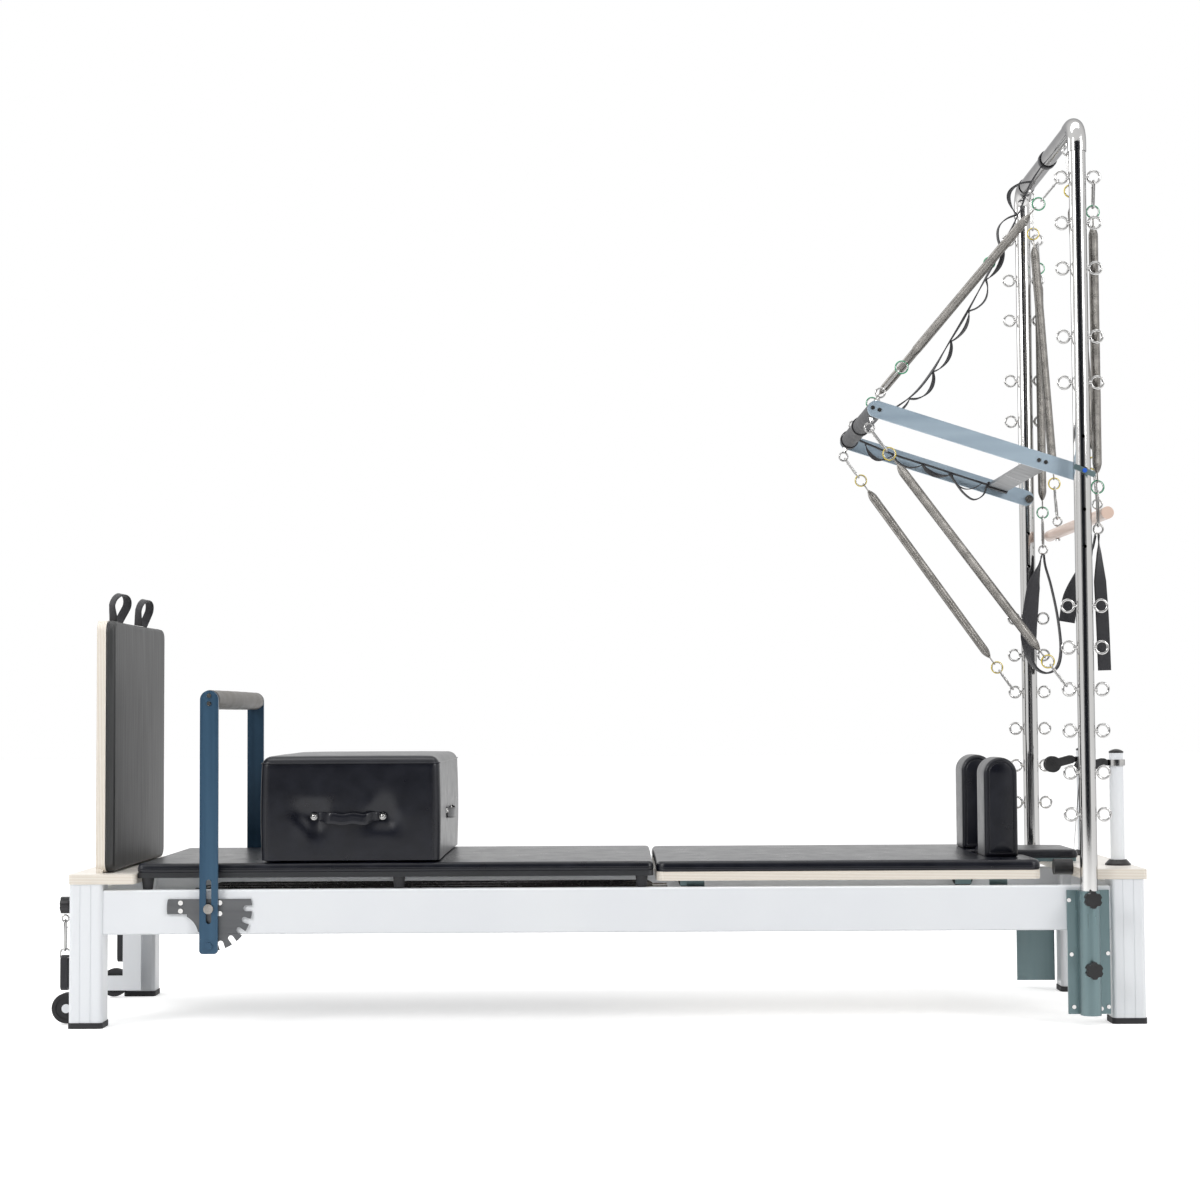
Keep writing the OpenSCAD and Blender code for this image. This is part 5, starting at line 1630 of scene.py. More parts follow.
@dataclass(frozen=True)
class Upholstery:
    """All padded pieces: mat, carriage, box, jump board, shoulder rests and headrest."""

    mat: Pad = Pad((-1028.0, -301.0, 344.0), (130.0, 301.0, 364.0), edge=8, corner=14,
                   crown=2.2, pinch=1.0, under=2.5, seam=7.0)
    carriage: Pad = Pad((137.0, -299.0, 340.0), (998.0, 299.0, 363.0), edge=9, corner=22,
                        crown=2.4, pinch=1.5, under=2.5, seam=7.5, notch=(894.0, 104.0))
    box: Pad = Pad((-751.0, -300.0, 364.5), (-349.0, 300.0, 602.5), edge=23, corner=20,
                   crown=3.0, pinch=2.0, under=5, bulge=2.4, hollow=(16.0, 18.0), step=6)
    head: Pad = Pad((912.0, -100.0, 353.3), (1124.0, 100.0, 372.0), edge=8, corner=18,
                    crown=2.0, pinch=1.4, under=3, seam=6.0, step=9)

    def build(self) -> None:
        """Make every padded piece and set it on its body."""
        hide = [LIBRARY.leather(), LIBRARY.get(Look.THREAD)]
        self._pad("mat_pad", "mat_upholstery", "mat", self.mat, hide)
        self._pad("carriage_pad", "carriage_upholstery", "carriage", self.carriage, hide)
        self._box(hide)
        self._jump_pad(hide)
        for side, body in ((Side.NEAR, "rest_near"), (Side.FAR, "rest_far")):
            self._rest(side, body, hide)
        self._headrest(hide)

    @staticmethod
    def _pad(node: str, name: str, body: str, pad: Pad,
             hide: Sequence[bpy.types.Material]) -> None:
        """A lying pad with a stitched seam round its wall."""
        parts = [pad.build().marked(0)]
        if not pad.notch:
            parts += pad.stitches(1.7, pad.bulge * 0.8 + 0.1)
        obj = make_object(name, MeshData.joined(parts), hide, 60)
        put_on(obj, body, [node])

    def _box(self, hide: Sequence[bpy.types.Material]) -> None:
        """The box: dimpled round its handle bolts, seamed down its corners."""
        pad = self.box
        skin = pad.build()
        v = skin.verts / MM
        lay = LAYOUT
        for sx in (-1, 1):
            dx, dz = v[:, 0] - (lay.handle_x + sx * lay.handle_bolt), v[:, 2] - lay.handle_z
            d, fold = np.hypot(dx, dz), np.arctan2(dz, dx)
            reach = 25.0 * (1 + 0.22 * np.cos(3 * fold + 1.9 * sx) * np.clip(d / 20, 0, 1))
            depth = 10.5 * np.exp(-(np.maximum(d - 7.5, 0) / reach) ** 2)
            ridge = (1.3 * np.exp(-((d - 38) / 16) ** 2)
                     * (0.5 + 0.5 * np.cos(2 * fold + 1.1 * sx)))
            on_side = np.abs(v[:, 1]) > pad.hi[1] - 15
            v[:, 1] -= np.where(on_side, np.sign(v[:, 1]) * (depth - ridge), 0)
        on_end = v[:, 0] > pad.hi[0] - 3
        for side in (-1, 1):
            d = np.hypot(v[:, 1] - side * lay.handle_bolt, v[:, 2] - lay.handle_z)
            v[:, 0] -= np.where(on_end, 3.0 * np.exp(-(d / 16) ** 2), 0)
        skin.verts = v * MM
        parts = [skin.marked(0)]
        hx, hy = pad.half
        bow = hy - 0.2 + 2.1 * np.sin(math.pi * np.linspace(0, 1, 12))
        up = np.linspace(374, 582, 12)
        for sx in (-1, 1):
            for sy in (-1, 1):
                for inset in (13.0, 16.0):
                    x = pad.mid[0] + sx * (hx - inset)
                    rail = np.column_stack([x + 0 * up, sy * bow, up])
                    parts.append(stitch_row(rail * MM).marked(1))
        seam = pad.outline(222.0, 0.25)
        parts.append(sweep(seam, circle_profile(0.0016, 8), closed=True).marked(0))
        obj = make_object("box_upholstery", MeshData.joined(parts), hide, 60)
        put_on(obj, "box", ["exercise_box"])

    @staticmethod
    def _jump_pad(hide: Sequence[bpy.types.Material]) -> None:
        """The jump board's pad, turned to stand on its plywood."""
        lo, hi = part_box("jump_board_pad")
        thick, width, height = (np.array(hi) - np.array(lo)) / MM
        pad = Pad((-height / 2, -width / 2, 0.0), (height / 2, width / 2, thick - 3.0),
                  edge=9, corner=26, crown=3.0, pinch=1.8, under=2.5, seam=6.0)
        whole = MeshData.joined([pad.build().marked(0)]
                                + pad.stitches(1.7, pad.bulge * 0.8 + 0.1))
        v = whole.verts
        mid = (lo[2] + hi[2]) / 2
        whole.verts = np.stack([lo[0] + v[:, 2], v[:, 1], mid - v[:, 0]], 1)
        obj = make_object("jump_upholstery", whole, [LIBRARY.leather_grained(), hide[1]], 60)
        put_on(obj, "jump_board", ["jump_board_pad"])

    @staticmethod
    def _rest(side: Side, body: str, hide: Sequence[bpy.types.Material]) -> None:
        """A shoulder rest with seams round both flat sides, and its steel post."""
        node = "shoulder_rest_" + side.name.lower()
        x, y, foot, post_r = 925.0, side.value * 162.0, 363.5, 15.5
        low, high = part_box(node)[0][2] / MM, foot - 0.3
        bolster = Bolster(x, y, foot, length=76.0, width=116.0, height=226.0)
        parts = [bolster.build().marked(0)]
        parts += [stitch_row(bolster.seam_path(face)).marked(1) for face in (-1, 1)]
        post = turned_at([(HUB_R, low), (post_r, low), (post_r, high), (HUB_R, high)],
                         np.array([x, y, 0.0]), Z_AXIS, 32)
        parts.append(post.marked(2))
        obj = make_object(f"shoulder_cushion_{side.name.lower()}", MeshData.joined(parts),
                          list(hide) + [LIBRARY.get(Look.GREY_METAL)], 60)
        put_on(obj, body, [node])

    def _headrest(self, hide: Sequence[bpy.types.Material]) -> None:
        """The headrest: its board and hinge are the CAD solids, its pad is a fuller one."""
        parts = [self.head.build().marked(0)] + self.head.stitches(1.6, 1.1)
        board_t, board_l, pad_z = 0.0085, 0.15, 0.360
        obj = recoated(
            "headrest", "headrest_cushion", "head_board",
            lambda mids, lo, hi: (2 if hi[2] - lo[2] < board_t and hi[0] - lo[0] > board_l
                                  else 3),
            list(hide) + [LIBRARY.plywood("birch_lying"), LIBRARY.get(Look.GREY_METAL)],
            drop=lambda lo, hi: hi[2] > pad_z, extra=parts)


class Grips:
    """The padded sleeves on the footbar and on the push-through bar."""

    def build(self) -> None:
        """Make both sleeves."""
        self._sleeve("footbar_pad", "footbar_sleeve", "footbar", Look.WARM_GRIP, 1.6)
        self._sleeve("ptb_pad", "ptb_sleeve", "ptb", Look.GRIP, 1.2)

    @staticmethod
    def _sleeve(node: str, name: str, body: str, look: Look, swell: float) -> None:
        """A sleeve along Y with rolled ends and black end rings."""
        lo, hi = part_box(node)
        r = (hi[2] - lo[2]) / 2 / MM
        half = hi[1] / MM
        centre = np.array([(lo[0] + hi[0]) / 2, 0.0, (lo[2] + hi[2]) / 2])
        rows = [(r - 6.0, -half), (r - 2.6, -half), (r - 0.9, -half + 0.8),
                (r - 0.3, -half + 2.6), (r - 0.3, -half + 7.0), (r - 1.1, -half + 7.8),
                (r - 0.4, -half + 8.8)]
        for y in np.linspace(-half + 16, half - 16, 60):
            t = y / half
            rows.append((r - swell * 0.35 * t * t + 0.12 * math.sin(y / 19.0), y))
        rows += [(a, -b) for a, b in rows[:7][::-1]]
        data = lathe([(a * MM, b * MM) for a, b in rows], centre, Y_AXIS, 48)
        mids = np.array([data.verts[list(f)].mean(0) for f in data.faces])
        data.marks = (np.abs(mids[:, 1]) > (half - 7.6) * MM).astype(int)
        obj = make_object(name, data, [LIBRARY.get(look), LIBRARY.get(Look.BLACK_PLASTIC)], 40)
        put_on(obj, body, [node])


@dataclass(frozen=True)
class Chains:
    """Every spring, clip and ring of the tower, the foot end and the carriage."""

    layout: Layout = LAYOUT

    def build(self) -> None:
        """Make all chains."""
        goods = WireGoods(self.layout)
        coats = [LIBRARY.get(look)
                 for look in (Look.CHROME, Look.GREEN, Look.YELLOW, Look.SPRING_STEEL)]
        self._push_through(goods, coats)
        self._legs(goods, coats)
        self._roll_down(goods, coats)
        self._foot_end(goods)
        self._carriage(goods)

    def _push_through(self, goods: WireGoods, coats: list) -> None:
        """Four chains from the uprights to the push-through bar."""
        lay = self.layout
        for side in Side:
            for level, h, coat, name in ((lay.upper_level, lay.ptb_eye_h, 1, "upper"),
                                         (lay.lower_level, -lay.ptb_eye_h, 2, "lower")):
                a = np.array([lay.upright_x - lay.eye_reach, side.value * lay.upright_y,
                              level])
                b = lay.ptb_at(lay.ptb_r, h, side.value * lay.ptb_eye_y)
                data = goods.chain(Line(a, b), lay.eye_in, lay.bar_eye_in, lay.clip_l, coat)
                obj = make_object(f"spring_{name}_{side.name.lower()}", data, coats, 60)
                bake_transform(obj)
                if side is Side.NEAR and name == "upper":
                    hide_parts("tower_clips", "ptb_springs")
        self._bar_eyes(goods)

    def _bar_eyes(self, goods: WireGoods) -> None:
        """Eye bolts through the ends of the push-through bar."""
        lay = self.layout
        parts = []
        up = lay.ptb_at(0, 1, 0) - lay.ptb_at(0, 0, 0)
        for side in Side:
            y = side.value * lay.ptb_eye_y
            foot = lay.ptb_at(lay.ptb_r, -lay.ptb_eye_h + 12, y)
            tall = 2 * lay.ptb_eye_h - 24
            parts.append(turned_at([(0.0, 0.0), (3.4, 0.0), (3.4, tall), (0.0, tall)],
                                   foot, up, 16))
            for s in (-1, 1):
                eye = lay.ptb_at(lay.ptb_r, s * lay.ptb_eye_h, y)
                parts.append(goods.ring(eye, 0, lay.bar_ring_r, lay.bar_ring_wire))
                seat = lay.ptb_at(lay.ptb_r, s * (lay.ptb_pad_r + 0.4), y)
                parts.append(turned_at([(0.0, 0.0), (7.5, 0.0), (7.5, 1.6), (5.8, 2.0),
                                        (5.4, 5.2), (3.4, 5.8)], seat, up * s, 6))
        obj = make_object("push_through_eyes", MeshData.joined(parts),
                          [LIBRARY.get(Look.CHROME)], 40)
        put_on(obj, "ptb", ["ptb_clips"])

    def _legs(self, goods: WireGoods, coats: list) -> None:
        """The two leg springs; the chain bends a little at its green ring."""
        lay, gap = self.layout, self.layout.spring_gap
        for side, body in ((Side.NEAR, "leg_near"), (Side.FAR, "leg_far")):
            eye = np.array([lay.upright_x + lay.eye_reach, side.value * lay.upright_y,
                            lay.upper_level])
            span = lay.ring_from(lay.eye_in, lay.clip_l)
            ring = eye + np.array([0, -side.value * lay.leg_in,
                                   -math.sqrt(span ** 2 - lay.leg_in ** 2)])
            dee = np.array([ring[0], ring[1], lay.dee_z])
            top, low = Line(eye, ring), Line(dee, ring)
            lower_ring = lay.ring_from(lay.bar_eye_in, lay.long_clip_l)
            parts = [
                goods.clip(top, lay.clip_from(lay.eye_in) - 0.5, lay.clip_l + 1.0, 24.0,
                           corner=6.0),
                goods.ring(ring, 1),
                goods.spring(low, lower_ring + gap, low.length - gap,
                             gap).marked(SPRING_MARK),
                goods.ring(low.at(lower_ring), 1),
                goods.clip(low, lay.clip_from(lay.bar_eye_in), lay.long_clip_l),
                goods.ring(dee, 0, lay.bar_ring_r, lay.bar_ring_wire),
            ]
            obj = make_object("leg_spring_" + body[4:] + "_wound", MeshData.joined(parts),
                              coats, 60)
            put_on(obj, body, ["leg_spring_" + body[4:]])
        self._leg_straps([LIBRARY.weave(), LIBRARY.get(Look.THREAD)])

    @staticmethod
    def _leg_straps(coats: Sequence[bpy.types.Material]) -> None:
        """Padded loops under the leg springs."""
        near = [
            Strap([(1134, -323, 1088.9), (1134, -323, 1066), (1135, -320, 1036),
                   (1137, -316, 985), (1141, -315, 900), (1144, -315, 785)],
                  [(0, 1, 0), (0.3, 1, 0), (1, 1, 0), (1, 0.3, 0), (1, 0.2, 0), (1, 0.2, 0)],
                  [16, 17, 22, 30, 31, 31], [2.5, 2.5, 3.5, 5, 5, 4.6]),
            Strap([(1128, -318, 1088.9), (1124, -306, 1062), (1116, -291, 1032),
                   (1100, -286, 1000), (1077, -286, 950), (1067, -286, 895)],
                  [(0, 1, 0), (0, 1, 0), (1, 1, 0), (1, 0.3, 0), (1, 0, 0), (1, 0, 0)],
                  [16, 17, 22, 32, 36, 36], [2.5, 2.5, 3.5, 5, 5, 4.6]),
        ]
        loop = Strap([(1129, 318, 1088.9), (1121, 310, 1060), (1104, 298, 1010),
                      (1094, 291, 950), (1088, 288, 900), (1087, 289, 862),
                      (1090, 291, 826), (1108, 294, 800), (1134, 296, 790),
                      (1160, 298, 806), (1170, 301, 852), (1164, 305, 930),
                      (1150, 312, 1010), (1138, 319, 1060), (1135, 322, 1088.9)],
                     [(0, 1, 0), (0.4, 1, 0), (1, 0.6, 0), (1, 0.2, 0), (1, 0, 0),
                      (0.7, -0.7, 0), (0.2, -1, 0)] + [(0, -1, 0)] * 8,
                     [18, 24, 40, 40, 40, 40, 40, 38, 36, 34, 28, 24, 22, 20, 18],
                     [2.5, 3, 4, 4, 4, 4, 4, 4, 4, 3.6, 2.6, 2.4, 2.4, 2.4, 2.4])
        obj = make_object("leg_straps_near", sewn_straps(near, 0.82), coats, 50)
        put_on(obj, "leg_near")
        obj = make_object("leg_loop_far", sewn_straps([loop], 0.84), coats, 50)
        put_on(obj, "leg_far")

    def _roll_down(self, goods: WireGoods, coats: list) -> None:
        """The two springs of the roll-down bar."""
        lay = self.layout
        parts = []
        for side in Side:
            y = side.value * lay.roll_y
            top = np.array([lay.upright_x, y, lay.roll_eye_z])
            low = np.array([lay.dowel_x, y,
                            lay.dowel_z + lay.dowel_r + lay.bar_ring_r + 4])
            parts.append(goods.chain(Line(top, low), lay.bar_eye_in, lay.bar_eye_in,
                                     lay.long_clip_l, 2))
            parts.append(goods.ring(low, 0, lay.bar_ring_r, lay.bar_ring_wire))
            foot = np.array([lay.dowel_x, y, lay.dowel_z - lay.dowel_r - 5])
            tall = low[2] - lay.bar_ring_r - foot[2]
            parts.append(turned_at([(0, 0), (3, 0), (3, tall), (0, tall)], foot, Z_AXIS,
                                   14))
            parts.append(turned_at([(0, -1), (6.4, -1), (6.4, 4.0), (5.6, 4.7), (3.0, 4.8)],
                                   foot, Z_AXIS, 6))
        obj = make_object("roll_down_wound", MeshData.joined(parts), coats, 60)
        put_on(obj, "roll_down", ["roll_down_springs"])

    def _foot_end(self, goods: WireGoods) -> None:
        """Eye bolt, clip and D-ring on each foot-end leg."""
        lay = self.layout
        x, z, eye_r, wire, clip_l = -1191.0, 242.0, 7.5, 2.0, 72.0
        dee_r, dee_up, dee_tall = 11.0, 9.0, 24.0
        parts = []
        for side in Side:
            eye = np.array([x, side.value * lay.hook_y, z])
            line = Line(eye, eye - 100.0 * Z_AXIS)
            parts.append(goods.ring(eye, 0, eye_r, wire))
            parts.append(turned_at([(0, 0), (3, 0), (3, 7.5), (6.5, 7.6), (6.5, 9.0)],
                                   eye + 7.4 * X_AXIS, X_AXIS, 16))
            start = lay.clip_from(eye_r - wire)
            parts.append(goods.clip(line, start, clip_l))
            dee_start = start + clip_l - 4 * lay.clip_wire - lay.link_gap
            seat = eye - (dee_start + dee_tall - wire) * Z_AXIS
            arc = [(dee_r * math.cos(a), dee_up + dee_r * math.sin(a))
                   for a in np.linspace(0, math.pi, 21)]
            outline = [(-dee_r, 0.0), (0.0, 0.0), (dee_r, 0.0)] + arc
            path = np.array([[seat[0] + u, seat[1], seat[2] + v] for u, v in outline])
            parts.append(sweep(path * MM, circle_profile(wire * MM, 12), closed=True))
        obj = make_object("foot_end_hardware", MeshData.joined(parts),
                          [LIBRARY.get(Look.CHROME)], 50)
        put_on(obj, "frame", ["foot_end_hooks"])

    def _carriage(self, goods: WireGoods) -> None:
        """Five springs under the carriage, made where the CAD springs stand; on the machine
        they stretch as it moves.
        """
        lo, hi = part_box("carriage_springs")
        z = (hi[2] - 0.012) / MM
        x0, x1 = lo[0] / MM + 13, hi[0] / MM
        pitch, hook = 2.6, 34
        for i, y in enumerate(range(-160, 161, 80)):
            n_turn = (x1 - x0 - 2 * hook - 2) / pitch
            s = np.linspace(x0 + hook, x1 - hook, int(n_turn * 10))
            ang = np.linspace(0, 2 * math.pi * n_turn, len(s))
            near = np.minimum(s - s[0], s[-1] - s)
            r = 3.0 + 7.7 * np.sin(np.clip(near / 18, 0, 1) * math.pi / 2)
            radial = np.stack([np.zeros_like(s), np.cos(ang), np.sin(ang)], 1)
            path = np.column_stack([s, np.full(len(s), float(y)), np.full(len(s), z)])
            parts = [sweep((path + radial * r[:, None]) * MM, circle_profile(1.25 * MM, 5),
                           across=radial)]
            for p, q in ((x0, x0 + hook + 2), (x1 - hook - 2, x1)):
                rod = np.array([[t, y, z] for t in np.linspace(p, q, 4)])
                parts.append(sweep(rod * MM, circle_profile(2.8 * MM, 12)))
            post = np.array([[x0, y, t] for t in np.linspace(z - 14, z + 2, 4)])
            parts.append(sweep(post * MM, circle_profile(2.9 * MM, 12)))
            obj = make_object(f"carriage_spring_{i + 1}", MeshData.joined(parts),
                              [LIBRARY.get(Look.SPRING_STEEL)], 60)
            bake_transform(obj)
            if i == 0:
                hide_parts("carriage_springs")


class Webbing:
    """Straps: jump board loops, foot-end loops, box handles and the safety strap."""

    def __init__(self) -> None:
        self.thread = LIBRARY.get(Look.THREAD)
        self.coats = [LIBRARY.weave(), self.thread]

    def build(self) -> None:
        """Make every strap."""
        self._jump_loops()
        self._foot_loops()
        self._box_handles()
        self._safety()

    def _jump_loops(self) -> None:
        """Two carrying loops that stand on the jump board's upper edge."""
        lo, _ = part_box("jump_board_loops")
        lean, spread, strip_y = math.radians(12), math.radians(118), 35.0
        straps = []
        for y in (-150.0, 118.0):
            pts = []
            for t in np.linspace(-1, 1, 15):
                across = strip_y * math.sin(t * spread)
                up = 36.0 + 34.5 * math.cos(t * spread)
                if abs(t) > 0.75:
                    across = math.copysign(strip_y - (abs(t) - 0.75) * 34, t)
                    up = max(6.0, 36.0 - (abs(t) - 0.62) * 80)
                pts.append((across, up))
            rows, wide = [], []
            for n, (across, up) in enumerate(pts):
                high = np.clip(up / 60, 0, 1)
                turn = math.radians(20 if y < 0 else 12) * high * high * (3 - 2 * high)
                twist = turn + math.radians(45) * high * (1 - 2 * n / (len(pts) - 1))
                x = (lo[0] / MM + 10.0 * math.cos(lean) + up * math.sin(lean)
                     + across * math.sin(turn))
                z = lo[2] / MM - 3.5 + up * math.cos(lean)
                rows.append((x, y + across * math.cos(turn), z))
                wide.append((math.cos(twist), -math.sin(twist), -0.21))
            straps.append(Strap(rows, wide))
        obj = make_object("jump_board_straps", sewn_straps(straps, 0.8), self.coats, 50)
        put_on(obj, "jump_board", ["jump_board_loops"])

    def _foot_loops(self) -> None:
        """The webbing loops that hang from the foot-end D-rings."""
        lo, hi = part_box("foot_end_straps")
        x = (lo[0] + hi[0]) / 2 / MM
        z0, z1 = lo[2] / MM, hi[2] / MM
        thick = 3.0
        parts = []
        for side in Side:
            y = side.value * LAYOUT.hook_y
            rows = [(x, y + u, z0 + thick / 2 + v)
                    for u, v in oblong(31.0, z1 - z0 - thick, 11.0)]
            strap = Strap(rows, [(1, 0, 0)] * len(rows), 15.0, thick)
            parts.append(strap.build(closed=True).marked(0))
        obj = make_object("foot_end_loops", MeshData.joined(parts), self.coats, 50)
        put_on(obj, "frame", ["foot_end_straps"])

    def _box_handles(self) -> None:
        """Strap handles under washers and screws on three sides of the box."""
        x, z, bolt = LAYOUT.handle_x, LAYOUT.handle_z, LAYOUT.handle_bolt
        stations = np.linspace(-1.1, 1.1, 25)
        wide = [float(np.interp(abs(t), [0.6, 0.95, 1.1], [24.0, 17.0, 13.0]))
                for t in stations]
        half, wall, thick = 77, 300.2, 2.4
        parts = []
        for side in (-1, 1):
            seats = [self._seat(x + s * bolt, z, side) for s in (-1, 1)]
            pts = []
            for t in stations:
                seat = seats[0] if t < 0 else seats[1]
                free = float(np.clip((0.88 - abs(t)) / 0.4, 0, 1))
                free = free * free * (3 - 2 * free)
                rise = 11.0 * free + 1.7
                wave = 1.6 * math.sin(3.2 * math.pi * t) * free
                pts.append((x + half * t, side * (seat + (wall - seat) * free + rise),
                            z + wave - 5 * free))
            strap = Strap(pts, [(0.1, 0, 1)] * len(pts), wide, thick)
            parts.append(sewn_straps([strap], 0.84, 6))
            for s, seat in zip((-1, 1), seats):
                centre = np.array([x + s * bolt, side * (seat + 5.2), z])
                parts.append(self._washer(centre, side * Y_AXIS).marked(2))
        pts = [(-348.0 + 12.5 * (1 - t * t), half * t, z - 2 - 3 * (1 - t * t))
               for t in np.linspace(-1, 1, 17)]
        parts.append(sewn_straps([Strap(pts, [(0, 0.1, 1)] * len(pts), 24.0, thick)],
                                 0.84, 6))
        for s in (-1, 1):
            parts.append(self._washer(np.array([-347.4, s * bolt, z]), X_AXIS).marked(2))
        obj = make_object("box_strap_handles", MeshData.joined(parts),
                          [LIBRARY.leather(), self.thread, LIBRARY.get(Look.CHROME)], 45)
        put_on(obj, "box", ["box_handles"])

    @staticmethod
    def _seat(x: float, z: float, side: int) -> float:
        """How far out the box's skin lies under a handle bolt, in millimetres."""
        mesh = bpy.data.objects["box_upholstery"].data
        verts = np.zeros(len(mesh.vertices) * 3, np.float32)
        mesh.vertices.foreach_get("co", verts)
        verts = verts.reshape(-1, 3) / MM
        near = np.hypot(verts[:, 0] - x, verts[:, 2] - z) < 9.0
        near &= verts[:, 1] * side > 280.0
        return float(np.max(verts[near, 1] * side))

    @staticmethod
    def _washer(centre: Array, axis: Array) -> MeshData:
        """A dished washer with a round screw head."""
        rows = [(HUB_R, -2.0), (9.0, -2.0), (9.0, -0.8), (8.0, 0.4), (4.9, 0.5),
                (4.6, -0.2), (4.4, 0.3), (4.2, 1.6), (3.0, 2.4), (1.9, 2.6), (1.8, 1.5),
                (HUB_R, 1.5)]
        return turned_at(rows, centre, axis, 28)

    def _safety(self) -> None:
        """The looped safety strap: down to the bar, and on along the far arm."""
        long = [(1082, 0, 2006.5), (1054, 4, 1960), (1030, 8, 1900), (999, 12, 1835),
                (964, 16, 1770), (929, 18, 1706), (892, 18, 1640), (852, 16, 1575),
                (814, 14, 1512), (774, 12, 1462), (730, 10, 1428), (692, 7, 1406),
                (655.2, 4, 1393.5)]
        straps = [Strap(long, [(0.3 * math.sin(1.3 * n), 1, 0) for n in range(len(long))])]
        straps += self._daisies(np.array(long, float), 21.0, 8, turned=2)
        obj = make_object("safety_strap_long", sewn_straps(straps, 0.8), self.coats, 50)
        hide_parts("safety_strap")
        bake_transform(obj)
        side = [(662, 262, 1378.3), (690, 264, 1366), (760, 280, 1340), (850, 282, 1311),
                (930, 282, 1284), (986.8, 282, 1265.6)]
        tail = [(986.8, 282, 1263), (976, 280, 1238), (952, 278, 1227), (928, 278, 1243),
                (908, 280, 1270), (890, 282, 1298)]
        straps = [Strap(row, [(0, 1, 0)] * len(row)) for row in (side, tail)]
        straps += self._daisies(np.array(side, float), -25.0, 4)
        parts = [s.build().marked(0) for s in straps]
        parts += [s.sewn(0.8).marked(1) for s in straps[:2]]
        parts += [self._band(np.array([640.0, y, 1378.3]), 21.6) for y in (4.0, 262.0)]
        parts.append(self._brace_band())
        obj = make_object("safety_strap_side", MeshData.joined(parts), self.coats, 50)
        put_on(obj, "ptb")
        top = self._band(np.array([LAYOUT.upright_x, 0.0, LAYOUT.cross_z]), 20.6)
        obj = make_object("safety_strap_top", top, self.coats[:1], 50)
        put_on(obj, "frame")

    @staticmethod
    def _daisies(points: Array, rise: float, count: int, turned: int = 0) -> list[Strap]:
        """Loops sewn on a strap: each bows off it between two sewn spots.

        Args:
            points: Points that the strap follows, in millimetres.
            rise: How far a loop stands off the strap, with its side as the sign.
            count: Number of loops.
            turned: Number of loops at the start that stand wide on the other side.

        Returns:
            The loops.
        """
        path = smooth_path(points, 12)
        run = run_length(path)
        off = unit_rows(np.cross(tangents(path, False), Y_AXIS))
        stops = np.linspace(run[-1] * 0.06, run[-1] * 0.96, count + 1)
        stand_off, wider, steps = 2.6, -1.8, 9
        share = np.linspace(0, 1, steps)
        straps = []
        for i in range(count):
            s = np.linspace(stops[i], stops[i + 1], steps)
            tall = rise * (0.75 + 0.25 * math.sin(2.3 * i + 1)) * (wider if i < turned else 1)
            bow = tall * np.sin(math.pi * share) ** 0.8 + math.copysign(stand_off, tall)
            rows = sampled(s, run, path) + sampled(s, run, off) * bow[:, None]
            tilt = 0.85 * np.sin(math.pi * share) * math.cos(1.7 * i)
            wide = np.stack([tilt, np.ones(steps), 0.4 * tilt], 1)
            straps.append(Strap(rows, wide, 18.0, 2.2))
        return straps

    @staticmethod
    def _band(centre: Array, radius: float) -> MeshData:
        """A turn of webbing round a tube along Y."""
        a = np.linspace(0, 2 * math.pi, 48, endpoint=False)
        rows = centre + np.stack([radius * np.cos(a), 0 * a, radius * np.sin(a)], 1)
        return Strap(rows, [(0, 1, 0)] * len(rows), thick=2.4).build(2, True)

    @staticmethod
    def _brace_band() -> MeshData:
        """A turn of webbing round the brace of the push-through bar."""
        rows = [LAYOUT.ptb_at(LAYOUT.brace_d + d, h - 5.7, 282.0)
                for d, h in oblong(51.4, 11.4, 2.2)]
        return Strap(rows, [(0, 1, 0)] * len(rows), thick=2.4).build(2, True)


class Dresser:
    """Gives every CAD node that stays its finish, and recoats those with several."""

    OTHER_NAMES = {"rubber_black": Look.FOOT_RUBBER, "grip_foam": Look.GRIP,
                   "webbing": Look.BLACK_PLASTIC, "upholstery": Look.BLACK_PLASTIC}
    SATIN_NODES = ("footbar_tube", "ptb_tube", "footbar_pivots")

    def build(self) -> None:
        """Give each node's slots the material of its record slot."""
        slots = {s["node"]: s["material_slot"] for s in frame["record"]["subparts"]}
        for node, obj in frame["nodes"].items():
            slot = slots[node]
            if slot == "birch":
                upright = node == "jump_board_panel"
                material = LIBRARY.plywood("birch_standing" if upright else "birch_lying",
                                           upright)
            elif node in self.SATIN_NODES:
                material = LIBRARY.get(Look.SPRING_STEEL)
            else:
                material = LIBRARY.get(self.OTHER_NAMES.get(slot) or Look[slot.upper()])
            for place in obj.material_slots:
                place.material = material
        self._recoat()

    @staticmethod
    def _recoat() -> None:
        """Nodes whose solids differ in finish."""
        riser_x, collar_low, collar_high, dot_y = 1.1, 0.5, 0.592, -0.3646
        black, chrome = LIBRARY.get(Look.BLACK_PLASTIC), LIBRARY.get(Look.CHROME)
        recoated("riser_fittings", "riser_trim", "frame",
                 lambda mids, lo, hi: int(collar_low < (lo[2] + hi[2]) / 2 < collar_high
                                          and lo[0] > riser_x),
                 [black, chrome])
        recoated("ptb_latch", "latch_lever", "latch",
                 lambda mids, lo, hi: (mids[:, 1] < dot_y).astype(int),
                 [LIBRARY.get(Look.GREY_METAL), LIBRARY.get(Look.BLUE_DOT)])


